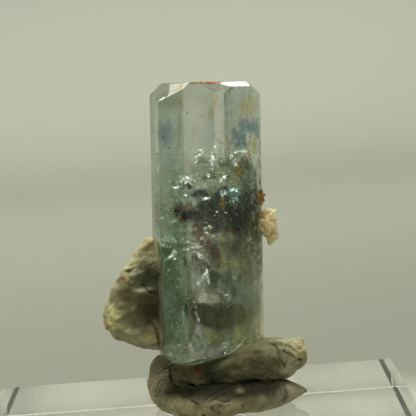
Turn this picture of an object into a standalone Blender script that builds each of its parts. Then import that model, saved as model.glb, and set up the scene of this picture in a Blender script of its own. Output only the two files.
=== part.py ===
"""Aquamarine specimen: a beryl prism on feldspar, held by putty on a clear block."""

from itertools import product
from math import cos, radians, sin

import bmesh
import bpy
import numpy as np
from mathutils import Matrix, Vector

MM = 0.001
# Clear space left between pieces that touch.
GAP = 0.3 * MM

# The clear block: three by two by one inches, its underside centre at the origin.
BLOCK_WIDTH = 76.2 * MM
BLOCK_DEPTH = 50.8 * MM
BLOCK_HEIGHT = 25.4 * MM
BLOCK_EDGE = 0.5 * MM
BLOCK_EDGE_STEPS = 2

# The crystal's own axis is +Z from the middle of its broken end.
CRYSTAL_BASE = (2.75 * MM, -1.2 * MM, 34.2 * MM)
CRYSTAL_HEIGHT = 48.7 * MM
CRYSTAL_BLANK = 120 * MM
LEAN_RIGHT = radians(3.3)
LEAN_BACK = radians(2.84)

# Beryl's pyramid faces lie at fixed angles from the flat end.
PYRAMID_P = radians(29.95)
PYRAMID_S = radians(44.9)

# Side faces: azimuth from the front towards the right in degrees, distance from the axis.
PRISM_FACES = {
    "m1": (-67, 10.27 * MM),
    "m2": (-7, 8.44 * MM),
    "a3": (23, 5.99 * MM),
    "m4": (53, 5.63 * MM),
    "m5": (113, 10.4 * MM),
    "m6": (173, 7.95 * MM),
    "m7": (233, 5.19 * MM),
}
# Corner faces at the top: azimuth, tilt from the flat end, and how far down the side they reach.
END_FACES = {
    "s_left_front": (-37, PYRAMID_S, 3.2 * MM),
    "s_left": (-97, PYRAMID_S, 2.1 * MM),
    "p_right_front": (53, PYRAMID_P, 0.85 * MM),
    "s_right": (83, PYRAMID_S, 2.2 * MM),
    "corner_front": (37, radians(62), 2.0 * MM),
    "s_back_right": (143, PYRAMID_S, 1.3 * MM),
    "p_back": (173, PYRAMID_P, 0.9 * MM),
    "s_back_left": (203, PYRAMID_S, 1.9 * MM),
}
# Broken faces at the bottom: azimuth, tilt from the axis end, and how far up the side they reach.
BROKEN_FACES = {
    "left_steep": (-92, radians(66), 5.0 * MM),
    "left_low": (-84, radians(31), 2.9 * MM),
    "right": (78, radians(27), 2.6 * MM),
    "front": (-12, radians(38), 1.4 * MM),
    "front_right": (38, radians(24), 1.9 * MM),
    "back": (168, radians(33), 3.2 * MM),
    "back_left": (228, radians(42), 3.6 * MM),
}

# Broken and rolling unevenness of a stone: how high each is, the size of its patches, and a seed.
LUMP_ROUGHNESS = (1.3 * MM, 0.5 * MM, 3.4 * MM, 11)
PLATE_ROUGHNESS = (0.9 * MM, 0.4 * MM, 3.0 * MM, 31)
RING_POINTS = 30

# Left lump: height, left reach, front reach, back reach of each level.
MATRIX_LEVELS = np.array([
    (56.9, -6.7, -4.4, -1.6),
    (55.3, -8.2, -5.2, 0.4),
    (52.6, -9.3, -6.6, 2.0),
    (51.2, -11.2, -7.8, 3.0),
    (48.4, -13.1, -8.1, 4.0),
    (44.2, -14.5, -8.3, 4.6),
    (41.9, -15.1, -8.4, 4.4),
    (39.7, -12.9, -8.3, 3.6),
    (38.5, -10.3, -8.0, 2.6),
    (37.7, -7.6, -7.2, 1.2),
]) * MM
MATRIX_INNER = 0.5 * MM
MATRIX_RINGS = 28
# Hollows in the lump's front: centre, radius and depth.
MATRIX_HOLLOWS = (
    ((-6.2 * MM, -8.0 * MM, 49.8 * MM), 2.0 * MM, 2.4 * MM),
    ((-5.8 * MM, -8.2 * MM, 44.4 * MM), 2.1 * MM, 1.8 * MM),
)

# Plate under the crystal: place along X, underside, top, front reach, back reach.
PLATE_SECTIONS = np.array([
    (-4.3, 31.7, 33.4, -4.2, 1.4),
    (-3.4, 30.9, 34.1, -5.4, 3.0),
    (0.5, 30.6, 34.6, -6.8, 4.6),
    (4.2, 30.5, 35.0, -7.8, 5.4),
    (9.0, 30.4, 36.4, -8.2, 5.6),
    (12.6, 30.3, 36.4, -7.0, 5.4),
    (15.6, 30.2, 36.0, -5.6, 4.8),
    (17.2, 30.6, 36.1, -4.8, 4.4),
    (19.0, 31.8, 35.8, -4.2, 3.6),
    (19.8, 33.0, 35.0, -3.0, 2.4),
]) * MM
PLATE_RINGS = 30

# Putty rope from its right tip, round the front, up the left side: x, y, z, half width, half height.
PUTTY_ROUTE = np.array([
    (19.0, 0.6, 26.7, 0.8, 0.7),
    (17.6, -0.6, 27.7, 2.8, 1.9),
    (14.8, -3.4, 28.2, 4.4, 2.5),
    (10.6, -5.2, 28.4, 5.2, 2.8),
    (5.6, -5.9, 28.4, 5.4, 3.0),
    (0.8, -5.9, 28.2, 5.0, 2.9),
    (-3.0, -4.9, 28.4, 4.3, 3.0),
    (-5.0, -3.0, 29.6, 3.3, 3.6),
    (-5.4, -1.0, 31.4, 2.6, 3.4),
    (-5.2, 0.6, 33.0, 2.2, 3.0),
    (-4.8, 1.8, 34.0, 1.6, 2.2),
]) * MM
PUTTY_RINGS = 44
PUTTY_POINTS = 24
PUTTY_EASING = 6
# Pad of the same putty behind the rope.
PAD_CENTRE = (5.2 * MM, 1.0 * MM, 27.2 * MM)
PAD_RADII = (12.8 * MM, 8.2 * MM, 4.6 * MM)
PAD_SEGMENTS = (28, 14)

# Small bits on the crystal's right side: centre and radii in millimetres, and a seed.
CHIPS = {
    "rust_chip": ((13.5, 4.2, 61.6), (1.35, 1.7, 1.9), 5),
    "feldspar_chip": ((13.9, 4.4, 56.2), (2.3, 2.4, 3.0), 9),
}

# Base colour and roughness of each piece, and the pieces that light passes through.
COLOURS = {
    "aquamarine_crystal": ((0.32, 0.50, 0.45, 1), 0.05),
    "feldspar_matrix": ((0.50, 0.45, 0.32, 1), 0.75),
    "rust_chip": ((0.42, 0.14, 0.04, 1), 0.8),
    "feldspar_chip": ((0.62, 0.47, 0.28, 1), 0.7),
    "albite_plate": ((0.50, 0.44, 0.31, 1), 0.7),
    "display_putty": ((0.17, 0.15, 0.10, 1), 0.85),
    "acrylic_block": ((0.85, 0.88, 0.86, 1), 0.02),
}
SEE_THROUGH = ("aquamarine_crystal", "acrylic_block")


def outward(azimuth, elevation):
    """Unit vector at an azimuth from the front (-Y) towards +X, raised by an elevation."""
    flat = cos(elevation)
    return Vector((flat * sin(azimuth), -flat * cos(azimuth), sin(elevation)))


def hashed(cells, seed):
    """Repeatable value from 0 to 1 for each whole-number cell."""
    x, y, z = (cells[..., axis].astype(np.int64) for axis in range(3))
    mixed = (x * 73856093) ^ (y * 19349663) ^ (z * 83492791) ^ (seed * 374761393)
    mixed = ((mixed ^ (mixed >> 13)) * 1274126177) & 0xFFFFFFFF
    mixed = ((mixed ^ (mixed >> 15)) * 668265263) & 0xFFFFFFFF
    return ((mixed >> 7) & 0xFFFF) / 65535.0


def smooth_noise(points, size, seed):
    """Rolling unevenness from -1 to 1: random values on a grid of that size, blended smoothly."""
    scaled = points / size
    cell = np.floor(scaled)
    blend = scaled - cell
    blend = blend * blend * (3 - 2 * blend)
    total = np.zeros(points.shape[:-1])
    for corner in product((0, 1), repeat=3):
        step = np.array(corner)
        weight = np.where(step == 1, blend, 1 - blend).prod(axis=-1)
        total += weight * hashed(cell + step, seed)
    return 2 * total - 1


def broken_noise(points, size, seed):
    """Flat tilted patches with ledges: each point takes the tilt of its nearest scattered centre."""
    scaled = points / size
    cell = np.floor(scaled)
    nearest = np.full(points.shape[:-1], np.inf)
    value = np.zeros(points.shape[:-1])
    for offset in product((-1, 0, 1), repeat=3):
        there = cell + np.array(offset)
        centre = there + np.stack([hashed(there, seed + axis) for axis in range(3)], axis=-1)
        delta = scaled - centre
        distance = (delta ** 2).sum(axis=-1)
        tilt = np.stack([hashed(there, seed + 3 + axis) for axis in range(3)], axis=-1) - 0.5
        height = (delta * tilt).sum(axis=-1) + 0.6 * (hashed(there, seed + 6) - 0.5)
        closer = distance < nearest
        value = np.where(closer, height, value)
        nearest = np.where(closer, distance, nearest)
    return value


def resample(rows, count):
    """Rows spread evenly over the same course, each column read along a straight line."""
    place = np.linspace(0, len(rows) - 1, count)
    columns = [np.interp(place, np.arange(len(rows)), column) for column in rows.T]
    return np.stack(columns, axis=1)


def eased(rows, passes):
    """Rows with the corners of their course rounded off, ends kept."""
    rows = rows.copy()
    for _ in range(passes):
        rows[1:-1] = (rows[:-2] + 2 * rows[1:-1] + rows[2:]) / 4
    return rows


def closed_loft(name, rings):
    """Mesh of rings joined in order, each end closed to a point at its ring's middle."""
    count, around = rings.shape[:2]
    bm = bmesh.new()
    verts = [[bm.verts.new(point) for point in ring] for ring in rings]
    for lower, upper in zip(verts, verts[1:]):
        for i in range(around):
            j = (i + 1) % around
            bm.faces.new((lower[i], lower[j], upper[j], upper[i]))
    for ring, row in ((verts[0], rings[0]), (verts[-1], rings[-1])):
        middle = bm.verts.new(row.mean(axis=0))
        for i in range(around):
            bm.faces.new((ring[i], ring[(i + 1) % around], middle))
    bmesh.ops.recalc_face_normals(bm, faces=bm.faces)
    bmesh.ops.triangulate(bm, faces=bm.faces)
    return mesh_object(name, bm)


def mesh_object(name, bm):
    """New object from a bmesh, which is freed."""
    mesh = bpy.data.meshes.new(name)
    bm.to_mesh(mesh)
    bm.free()
    return bpy.data.objects.new(name, mesh)


def rounded_ring(along, centre_a, centre_b, half_a, half_b, power=3.0):
    """One flat ring: a squarish oval with the given middle and half sizes, at a place along an axis."""
    angle = np.linspace(0, 2 * np.pi, RING_POINTS, endpoint=False)
    c, s = np.cos(angle), np.sin(angle)
    stretch = (np.abs(c) ** power + np.abs(s) ** power) ** (-1 / power)
    return (np.full(RING_POINTS, along), centre_a + half_a * c * stretch, centre_b + half_b * s * stretch)


def roughen(rings, broken, rolling, size, seed):
    """Push each point away from its ring's middle by broken and rolling unevenness."""
    away = rings - rings.mean(axis=1)[:, None, :]
    length = np.linalg.norm(away, axis=-1, keepdims=True)
    push = broken * broken_noise(rings, size, seed) + rolling * smooth_noise(rings, size * 1.7, seed + 20)
    return rings + away / np.maximum(length, 1e-6) * push[..., None]


def crystal(name, grow=0.0):
    """Prism cut from a block by its named faces; grow moves every face outwards by a distance."""
    bm = bmesh.new()
    bmesh.ops.create_cube(bm, size=CRYSTAL_BLANK)
    for azimuth, distance in PRISM_FACES.values():
        normal = outward(radians(azimuth), 0)
        point = Vector((0, 0, CRYSTAL_HEIGHT)) + normal * distance
        trim(bm, point + normal * grow, normal)
    for azimuth, tilt, reach in END_FACES.values():
        flat = outward(radians(azimuth), 0)
        point = flat * edge_reach(flat) + Vector((0, 0, CRYSTAL_HEIGHT - reach))
        normal = outward(radians(azimuth), radians(90) - tilt)
        trim(bm, point + normal * grow, normal)
    for azimuth, tilt, reach in BROKEN_FACES.values():
        flat = outward(radians(azimuth), 0)
        point = flat * edge_reach(flat) + Vector((0, 0, reach))
        normal = outward(radians(azimuth), tilt - radians(90))
        trim(bm, point + normal * grow, normal)
    trim(bm, Vector((0, 0, CRYSTAL_HEIGHT + grow)), Vector((0, 0, 1)))
    trim(bm, Vector((0, 0, -grow)), Vector((0, 0, -1)))
    lean = Matrix.Rotation(LEAN_RIGHT, 4, "Y") @ Matrix.Rotation(-LEAN_BACK, 4, "X")
    bm.transform(Matrix.Translation(CRYSTAL_BASE) @ lean)
    return mesh_object(name, bm)


def edge_reach(direction):
    """How far the prism's outline reaches from the axis in a flat direction."""
    faces = [(outward(radians(a), 0), d) for a, d in PRISM_FACES.values()]
    best = 0.0
    for (n1, d1), (n2, d2) in zip(faces, faces[1:] + faces[:1]):
        det = n1.x * n2.y - n1.y * n2.x
        corner = Vector(((d1 * n2.y - d2 * n1.y) / det, (n1.x * d2 - n2.x * d1) / det, 0))
        best = max(best, corner.dot(direction))
    return best


def trim(bm, point, normal):
    """Cut away everything beyond a plane and close the cut."""
    parts = bm.verts[:] + bm.edges[:] + bm.faces[:]
    cut = bmesh.ops.bisect_plane(bm, geom=parts, plane_co=point, plane_no=normal, clear_outer=True, dist=1e-7)
    edges = [item for item in cut["geom_cut"] if isinstance(item, bmesh.types.BMEdge)]
    if edges:
        bmesh.ops.contextual_create(bm, geom=edges)


def matrix_lump():
    """Left lump: level rings from the crystal's side out to its left reach, roughened."""
    rings = []
    for height, left, front, back in resample(MATRIX_LEVELS, MATRIX_RINGS):
        z, x, y = rounded_ring(height, (left + MATRIX_INNER) / 2, (front + back) / 2,
                               (MATRIX_INNER - left) / 2, (back - front) / 2)
        rings.append(np.stack([x, y, z], axis=1))
    rings = roughen(np.array(rings), *LUMP_ROUGHNESS)
    for centre, radius, depth in MATRIX_HOLLOWS:
        far = np.linalg.norm(rings - centre, axis=-1)
        rings[..., 1] += depth * np.exp(-((far / radius) ** 2))
    return closed_loft("feldspar_matrix", rings)


def plate():
    """Plate under the crystal: upright sections from left to right, roughened."""
    rings = []
    for place, under, top, front, back in resample(PLATE_SECTIONS, PLATE_RINGS):
        ring = rounded_ring(place, (front + back) / 2, (under + top) / 2,
                            (back - front) / 2, (top - under) / 2)
        rings.append(np.stack(ring, axis=1))
    return closed_loft("albite_plate", roughen(np.array(rings), *PLATE_ROUGHNESS))


def putty():
    """Rope of putty swept along its route with a flattened underside, joined to the pad behind it."""
    rows = eased(resample(PUTTY_ROUTE, PUTTY_RINGS), PUTTY_EASING)
    angle = np.linspace(0, 2 * np.pi, PUTTY_POINTS, endpoint=False)
    heading = np.gradient(rows[:, :3], axis=0)
    heading /= np.linalg.norm(heading, axis=1, keepdims=True)
    side = np.cross(heading, (0, 0, 1))
    side /= np.linalg.norm(side, axis=1, keepdims=True)
    rise = np.cross(side, heading)
    rings = (rows[:, None, :3]
             + side[:, None, :] * (rows[:, 3, None] * np.cos(angle))[..., None]
             + rise[:, None, :] * (rows[:, 4, None] * np.sin(angle))[..., None])
    rope = closed_loft("display_putty", rings)
    bm = bmesh.new()
    bmesh.ops.create_uvsphere(bm, u_segments=PAD_SEGMENTS[0], v_segments=PAD_SEGMENTS[1], radius=1)
    bmesh.ops.scale(bm, vec=PAD_RADII, verts=bm.verts)
    bmesh.ops.translate(bm, vec=PAD_CENTRE, verts=bm.verts)
    pad = mesh_object("pad", bm)
    boolean(rope, pad, "UNION")
    floor = box_cutter("floor_cutter", BLOCK_HEIGHT + GAP)
    boolean(rope, floor, "DIFFERENCE")
    return rope


def box_cutter(name, top):
    """Big block whose top face is at a height, to cut flat what reaches below it."""
    size = 100 * MM
    bm = bmesh.new()
    bmesh.ops.create_cube(bm, size=size)
    bmesh.ops.translate(bm, vec=(0, 0, top - size / 2), verts=bm.verts)
    return mesh_object(name, bm)


def chip(name, centre, radii, seed):
    """Small broken bit: a unit ball roughened by its noises, then stretched to the given radii."""
    bm = bmesh.new()
    bmesh.ops.create_icosphere(bm, subdivisions=3, radius=1)
    points = np.array([vert.co for vert in bm.verts])
    push = 1 + 0.5 * broken_noise(points, 0.7, seed) + 0.1 * smooth_noise(points, 0.9, seed + 1)
    points = points * push[:, None] * np.array(radii) * MM + np.array(centre) * MM
    for vert, point in zip(bm.verts, points):
        vert.co = point
    return mesh_object(name, bm)


def clear_block():
    """Clear slab with narrow rounded edges."""
    bm = bmesh.new()
    bmesh.ops.create_cube(bm, size=1)
    bmesh.ops.scale(bm, vec=(BLOCK_WIDTH, BLOCK_DEPTH, BLOCK_HEIGHT), verts=bm.verts)
    bmesh.ops.translate(bm, vec=(0, 0, BLOCK_HEIGHT / 2), verts=bm.verts)
    block = mesh_object("acrylic_block", bm)
    rounding = block.modifiers.new("rounded_edges", "BEVEL")
    rounding.width = BLOCK_EDGE
    rounding.segments = BLOCK_EDGE_STEPS
    return block


def boolean(target, other, operation):
    """Exact Boolean of two objects, baked into the first."""
    show(target)
    hide(other)
    step = target.modifiers.new(other.name, "BOOLEAN")
    step.operation = operation
    step.solver = "EXACT"
    step.object = other
    bake(target)


def bake(target):
    """Replace an object's mesh with its evaluated one and drop its modifiers."""
    depsgraph = bpy.context.evaluated_depsgraph_get()
    mesh = bpy.data.meshes.new_from_object(target.evaluated_get(depsgraph))
    target.modifiers.clear()
    target.data = mesh


def keep_largest(target):
    """Remove loose crumbs that a cut leaves beside the main body."""
    bm = bmesh.new()
    bm.from_mesh(target.data)
    bmesh.ops.remove_doubles(bm, verts=bm.verts, dist=0.01 * MM)
    left = set(bm.verts)
    bodies = []
    while left:
        stack = [left.pop()]
        body = set(stack)
        while stack:
            for edge in stack.pop().link_edges:
                for vert in edge.verts:
                    if vert in left:
                        left.remove(vert)
                        body.add(vert)
                        stack.append(vert)
        bodies.append(body)
    bodies.sort(key=len, reverse=True)
    crumbs = [vert for body in bodies[1:] for vert in body]
    bmesh.ops.delete(bm, geom=crumbs, context="VERTS")
    bmesh.ops.triangulate(bm, faces=bm.faces)
    bm.to_mesh(target.data)
    bm.free()


def show(target):
    """Put a piece in the specimen's collection."""
    if target.name not in specimen.objects:
        specimen.objects.link(target)


def hide(target):
    """Put a cutter in its own collection, out of the render."""
    if target.name not in cutters.objects:
        cutters.objects.link(target)
    target.hide_render = True
    target.display_type = "WIRE"


def grown_copy(source, distance, name):
    """Copy of a solid with every point moved outwards along its normal."""
    bm = bmesh.new()
    bm.from_mesh(source.data)
    bm.normal_update()
    moved = [vert.co + vert.normal * distance for vert in bm.verts]
    for vert, place in zip(bm.verts, moved):
        vert.co = place
    return mesh_object(name, bm)


def finish(target):
    """Give a piece its material."""
    colour, roughness = COLOURS[target.name]
    material = bpy.data.materials.new(target.name)
    material.use_nodes = True
    shader = material.node_tree.nodes["Principled BSDF"]
    shader.inputs["Base Color"].default_value = colour
    shader.inputs["Roughness"].default_value = roughness
    shader.inputs["Metallic"].default_value = 0.0
    if target.name in SEE_THROUGH:
        shader.inputs["Transmission Weight"].default_value = 1.0
    target.data.materials.clear()
    target.data.materials.append(material)


for old in list(bpy.data.objects):
    bpy.data.objects.remove(old, do_unlink=True)
specimen = bpy.data.collections.new("aquamarine_specimen")
cutters = bpy.data.collections.new("cutters")
bpy.context.scene.collection.children.link(specimen)
bpy.context.scene.collection.children.link(cutters)

gem = crystal("aquamarine_crystal")
show(gem)
room = crystal("crystal_room", GAP)
lump = matrix_lump()
boolean(lump, room, "DIFFERENCE")
slab = plate()
boolean(slab, room, "DIFFERENCE")
keep_largest(slab)
tack = putty()
boolean(tack, room, "DIFFERENCE")
boolean(tack, grown_copy(slab, GAP, "plate_room"), "DIFFERENCE")
boolean(tack, grown_copy(lump, GAP, "lump_room"), "DIFFERENCE")
bits = []
for chip_name, (place, size, roll) in CHIPS.items():
    bit = chip(chip_name, place, size, roll)
    boolean(bit, room, "DIFFERENCE")
    bits.append(bit)
block = clear_block()
show(block)
for stone in [lump, slab, tack] + bits:
    keep_largest(stone)
for piece in [gem, lump, slab, tack, block] + bits:
    finish(piece)
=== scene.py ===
# %% [markdown]
# # An aquamarine specimen on its display block
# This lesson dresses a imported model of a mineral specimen: a see-through beryl prism that grew on
# feldspar, held upright by grey putty on a clear block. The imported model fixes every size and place.
# Loading it first means that each new surface can be measured against it.

# %% Load the frame
from itertools import product
from math import cos, radians, sin

import bmesh
import bpy
import numpy as np
from mathutils import Matrix, Vector


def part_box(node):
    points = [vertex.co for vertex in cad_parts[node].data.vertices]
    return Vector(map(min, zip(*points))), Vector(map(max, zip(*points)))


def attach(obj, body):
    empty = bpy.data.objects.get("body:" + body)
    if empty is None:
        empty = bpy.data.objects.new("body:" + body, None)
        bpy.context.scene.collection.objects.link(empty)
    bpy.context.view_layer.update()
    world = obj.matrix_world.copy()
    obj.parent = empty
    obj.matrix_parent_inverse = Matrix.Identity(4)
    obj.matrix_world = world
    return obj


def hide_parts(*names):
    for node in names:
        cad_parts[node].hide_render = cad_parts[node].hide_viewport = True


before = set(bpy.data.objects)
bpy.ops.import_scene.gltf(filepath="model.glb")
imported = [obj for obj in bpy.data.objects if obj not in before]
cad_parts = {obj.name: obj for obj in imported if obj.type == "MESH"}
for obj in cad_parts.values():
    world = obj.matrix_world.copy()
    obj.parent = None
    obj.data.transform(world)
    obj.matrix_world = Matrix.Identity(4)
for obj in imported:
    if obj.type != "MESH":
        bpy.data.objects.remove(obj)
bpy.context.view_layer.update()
MM = 0.001
BODY = "root"
BLOCK_LOW, BLOCK_HIGH = (Vector(corner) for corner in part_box("acrylic_block"))

# %% [markdown]
# ## The camera
# A tabletop photograph of a small stone is taken with a long lens from about a hand's length away.
# The block's top edges gave the camera's height, distance and tilt. A matrix with the camera's right,
# up and back directions as columns places it in one step, roll included.

# %% Camera
LENS = 129.8
CAMERA_PLACE = Vector((4.5 * MM, -259.7 * MM, 95.7 * MM))
PITCH, ROLL = radians(7.63), radians(4.387)
forward = Vector((0, cos(PITCH), -sin(PITCH)))
level_right = Vector((1, 0, 0))
level_up = level_right.cross(forward)
right = level_right * cos(ROLL) - level_up * sin(ROLL)
up = level_right * sin(ROLL) + level_up * cos(ROLL)

camera_data = bpy.data.cameras.new("camera")
camera_data.lens = LENS
camera_data.sensor_width = 36
camera_data.clip_start = 0.01
camera = bpy.data.objects.new("camera", camera_data)
turned = Matrix((right, up, -forward)).transposed().to_4x4()
camera.matrix_world = Matrix.Translation(CAMERA_PLACE) @ turned
bpy.context.scene.collection.objects.link(camera)
bpy.context.scene.camera = camera
print("camera at", [round(v, 3) for v in CAMERA_PLACE])

# %% [markdown]
# ## Unevenness as arrays
# Stone breaks into flat tilted patches with ledges between them, and weathers into rolling bumps.
# Texture nodes could colour that but not shape it, so two functions give it for whole arrays of
# points at once: random values on a grid blended smoothly, and the tilt of the nearest scattered
# centre. Both use the same repeatable hash, so every run gives the same stone.


# %% Noise functions
def hashed(cells, seed):
    """Repeatable value from 0 to 1 for each whole-number cell: three products mixed by shifts."""
    x, y, z = (cells[..., axis].astype(np.int64) for axis in range(3))
    mixed = (x * 73856093) ^ (y * 19349663) ^ (z * 83492791) ^ (seed * 374761393)
    mixed = ((mixed ^ (mixed >> 13)) * 1274126177) & 0xFFFFFFFF
    mixed = ((mixed ^ (mixed >> 15)) * 668265263) & 0xFFFFFFFF
    return ((mixed >> 7) & 0xFFFF) / 65535.0


def smooth_noise(points, size, seed):
    """Rolling unevenness from -1 to 1: hashed corner values of a grid, blended by a smooth step."""
    scaled = points / size
    cell = np.floor(scaled)
    blend = scaled - cell
    blend = blend * blend * (3 - 2 * blend)
    total = np.zeros(points.shape[:-1])
    for corner in product((0, 1), repeat=3):
        step = np.array(corner)
        weight = np.where(step == 1, blend, 1 - blend).prod(axis=-1)
        total += weight * hashed(cell + step, seed)
    return 2 * total - 1


def broken_noise(points, size, seed):
    """Flat tilted patches with ledges: the offset to the nearest centre, times that centre's tilt."""
    scaled = points / size
    cell = np.floor(scaled)
    nearest = np.full(points.shape[:-1], np.inf)
    value = np.zeros(points.shape[:-1])
    for offset in product((-1, 0, 1), repeat=3):
        there = cell + np.array(offset)
        centre = there + np.stack([hashed(there, seed + axis) for axis in range(3)], axis=-1)
        delta = scaled - centre
        distance = (delta ** 2).sum(axis=-1)
        tilt = np.stack([hashed(there, seed + 3 + axis) for axis in range(3)], axis=-1) - 0.5
        height = (delta * tilt).sum(axis=-1) + 0.6 * (hashed(there, seed + 6) - 0.5)
        closer = distance < nearest
        value = np.where(closer, height, value)
        nearest = np.where(closer, distance, nearest)
    return value


def grains(points, size, seed, octaves=4):
    """Sum of rolling unevenness at halving sizes and halving heights."""
    return sum(smooth_noise(points, size / 2 ** i, seed + i) / 2 ** i for i in range(octaves))


# %% [markdown]
# ## From grids to meshes
# Every solid piece here is a stack of rings: rows of points that run round the piece, closed to a
# single point at each end. The helper numbers the corner points of each face with array sums, so
# no loop visits a vertex, and turns the faces outwards by the sign of the enclosed volume.


# %% Mesh helpers
def new_piece(name, points, faces, smooth=True):
    """Mesh object from an array of points and an array of faces, linked to the scene."""
    mesh = bpy.data.meshes.new(name)
    mesh.from_pydata(points.tolist(), [], faces.tolist() if hasattr(faces, "tolist") else faces)
    mesh.polygons.foreach_set("use_smooth", np.full(len(mesh.polygons), smooth))
    mesh.update()
    piece = bpy.data.objects.new(name, mesh)
    bpy.context.scene.collection.objects.link(piece)
    return piece


def ring_faces(rows, around):
    """Corner numbers of the faces between neighbouring rings and of the fans that close the ends."""
    row, column = np.meshgrid(np.arange(rows - 1), np.arange(around), indexing="ij")
    following = (column + 1) % around
    quads = np.stack([row * around + column, row * around + following,
                      (row + 1) * around + following, (row + 1) * around + column], axis=-1)
    spot = np.arange(around)
    after = (spot + 1) % around
    first, last = rows * around, rows * around + 1
    low = np.stack([after, spot, np.full(around, first)], axis=1)
    top = (rows - 1) * around
    high = np.stack([top + spot, top + after, np.full(around, last)], axis=1)
    return quads.reshape(-1, 4), np.concatenate([low, high])


def closed_stack(name, rings, ends=None):
    """Closed mesh of stacked rings; its volume by the divergence theorem tells which way it faces."""
    rows, around = rings.shape[:2]
    ends = np.array([rings[0].mean(axis=0), rings[-1].mean(axis=0)]) if ends is None else ends
    points = np.concatenate([rings.reshape(-1, 3), ends])
    quads, fans = ring_faces(rows, around)
    corners = points[quads]
    volume = (np.cross(corners[:, 0], corners[:, 1]) * corners[:, 2]).sum()
    if volume < 0:
        quads, fans = quads[:, ::-1], fans[:, ::-1]
    return new_piece(name, points, quads.tolist() + fans.tolist())


def store(piece, name, values):
    """Keep one number per point on the mesh, for its material to read."""
    layer = piece.data.attributes.new(name, "FLOAT", "POINT")
    padded = np.zeros(len(piece.data.vertices))
    padded[:values.size] = values.ravel()
    layer.data.foreach_set("value", padded)


def dress(piece, node_names, material):
    """Ride the one body, stand for the plain nodes and take the material."""
    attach(piece, BODY)
    if node_names:
        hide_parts(*node_names)
    piece.data.materials.clear()
    piece.data.materials.append(material)


# %% [markdown]
# ## Node boards written as arithmetic
# A shader is easier to read as a formula than as a web of links. The class below wraps a socket, so
# that `1 - mask * 0.5` adds the Math nodes by itself. One method adds any other node from its type,
# its settings and its sockets.


# %% Shader helpers
class Value:
    """A number socket that takes part in ordinary arithmetic."""

    def __init__(self, board, socket):
        self.board, self.socket = board, socket

    def math(self, operation, *others):
        inputs = dict(enumerate((self,) + others))
        return self.board.node("ShaderNodeMath", {"operation": operation}, inputs).value()

    def __add__(self, other):
        return self.math("ADD", other)

    def __sub__(self, other):
        return self.math("SUBTRACT", other)

    def __rsub__(self, other):
        return self.math("MULTIPLY_ADD", -1.0, other)

    def __mul__(self, other):
        return self.math("MULTIPLY", other)

    def __truediv__(self, other):
        return self.math("DIVIDE", other)

    __radd__ = __add__
    __rmul__ = __mul__

    def sine(self):
        return self.math("SINE")

    def most(self, other):
        return self.math("MAXIMUM", other)

    def step(self, low, high):
        """Smooth rise from 0 at low to 1 at high, or a fall if low is the larger."""
        settings = {"interpolation_type": "SMOOTHSTEP"}
        inputs = {"Value": self, "From Min": min(low, high), "From Max": max(low, high)}
        if low > high:
            inputs.update({"To Min": 1.0, "To Max": 0.0})
        return self.board.node("ShaderNodeMapRange", settings, inputs).value()


class Made:
    """A node that was just added, whose outputs are taken by name or number."""

    def __init__(self, board, node):
        self.board, self.made = board, node

    def value(self, output=0):
        return Value(self.board, self.made.outputs[output])

    def out(self, output=0):
        return self.made.outputs[output]


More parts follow.
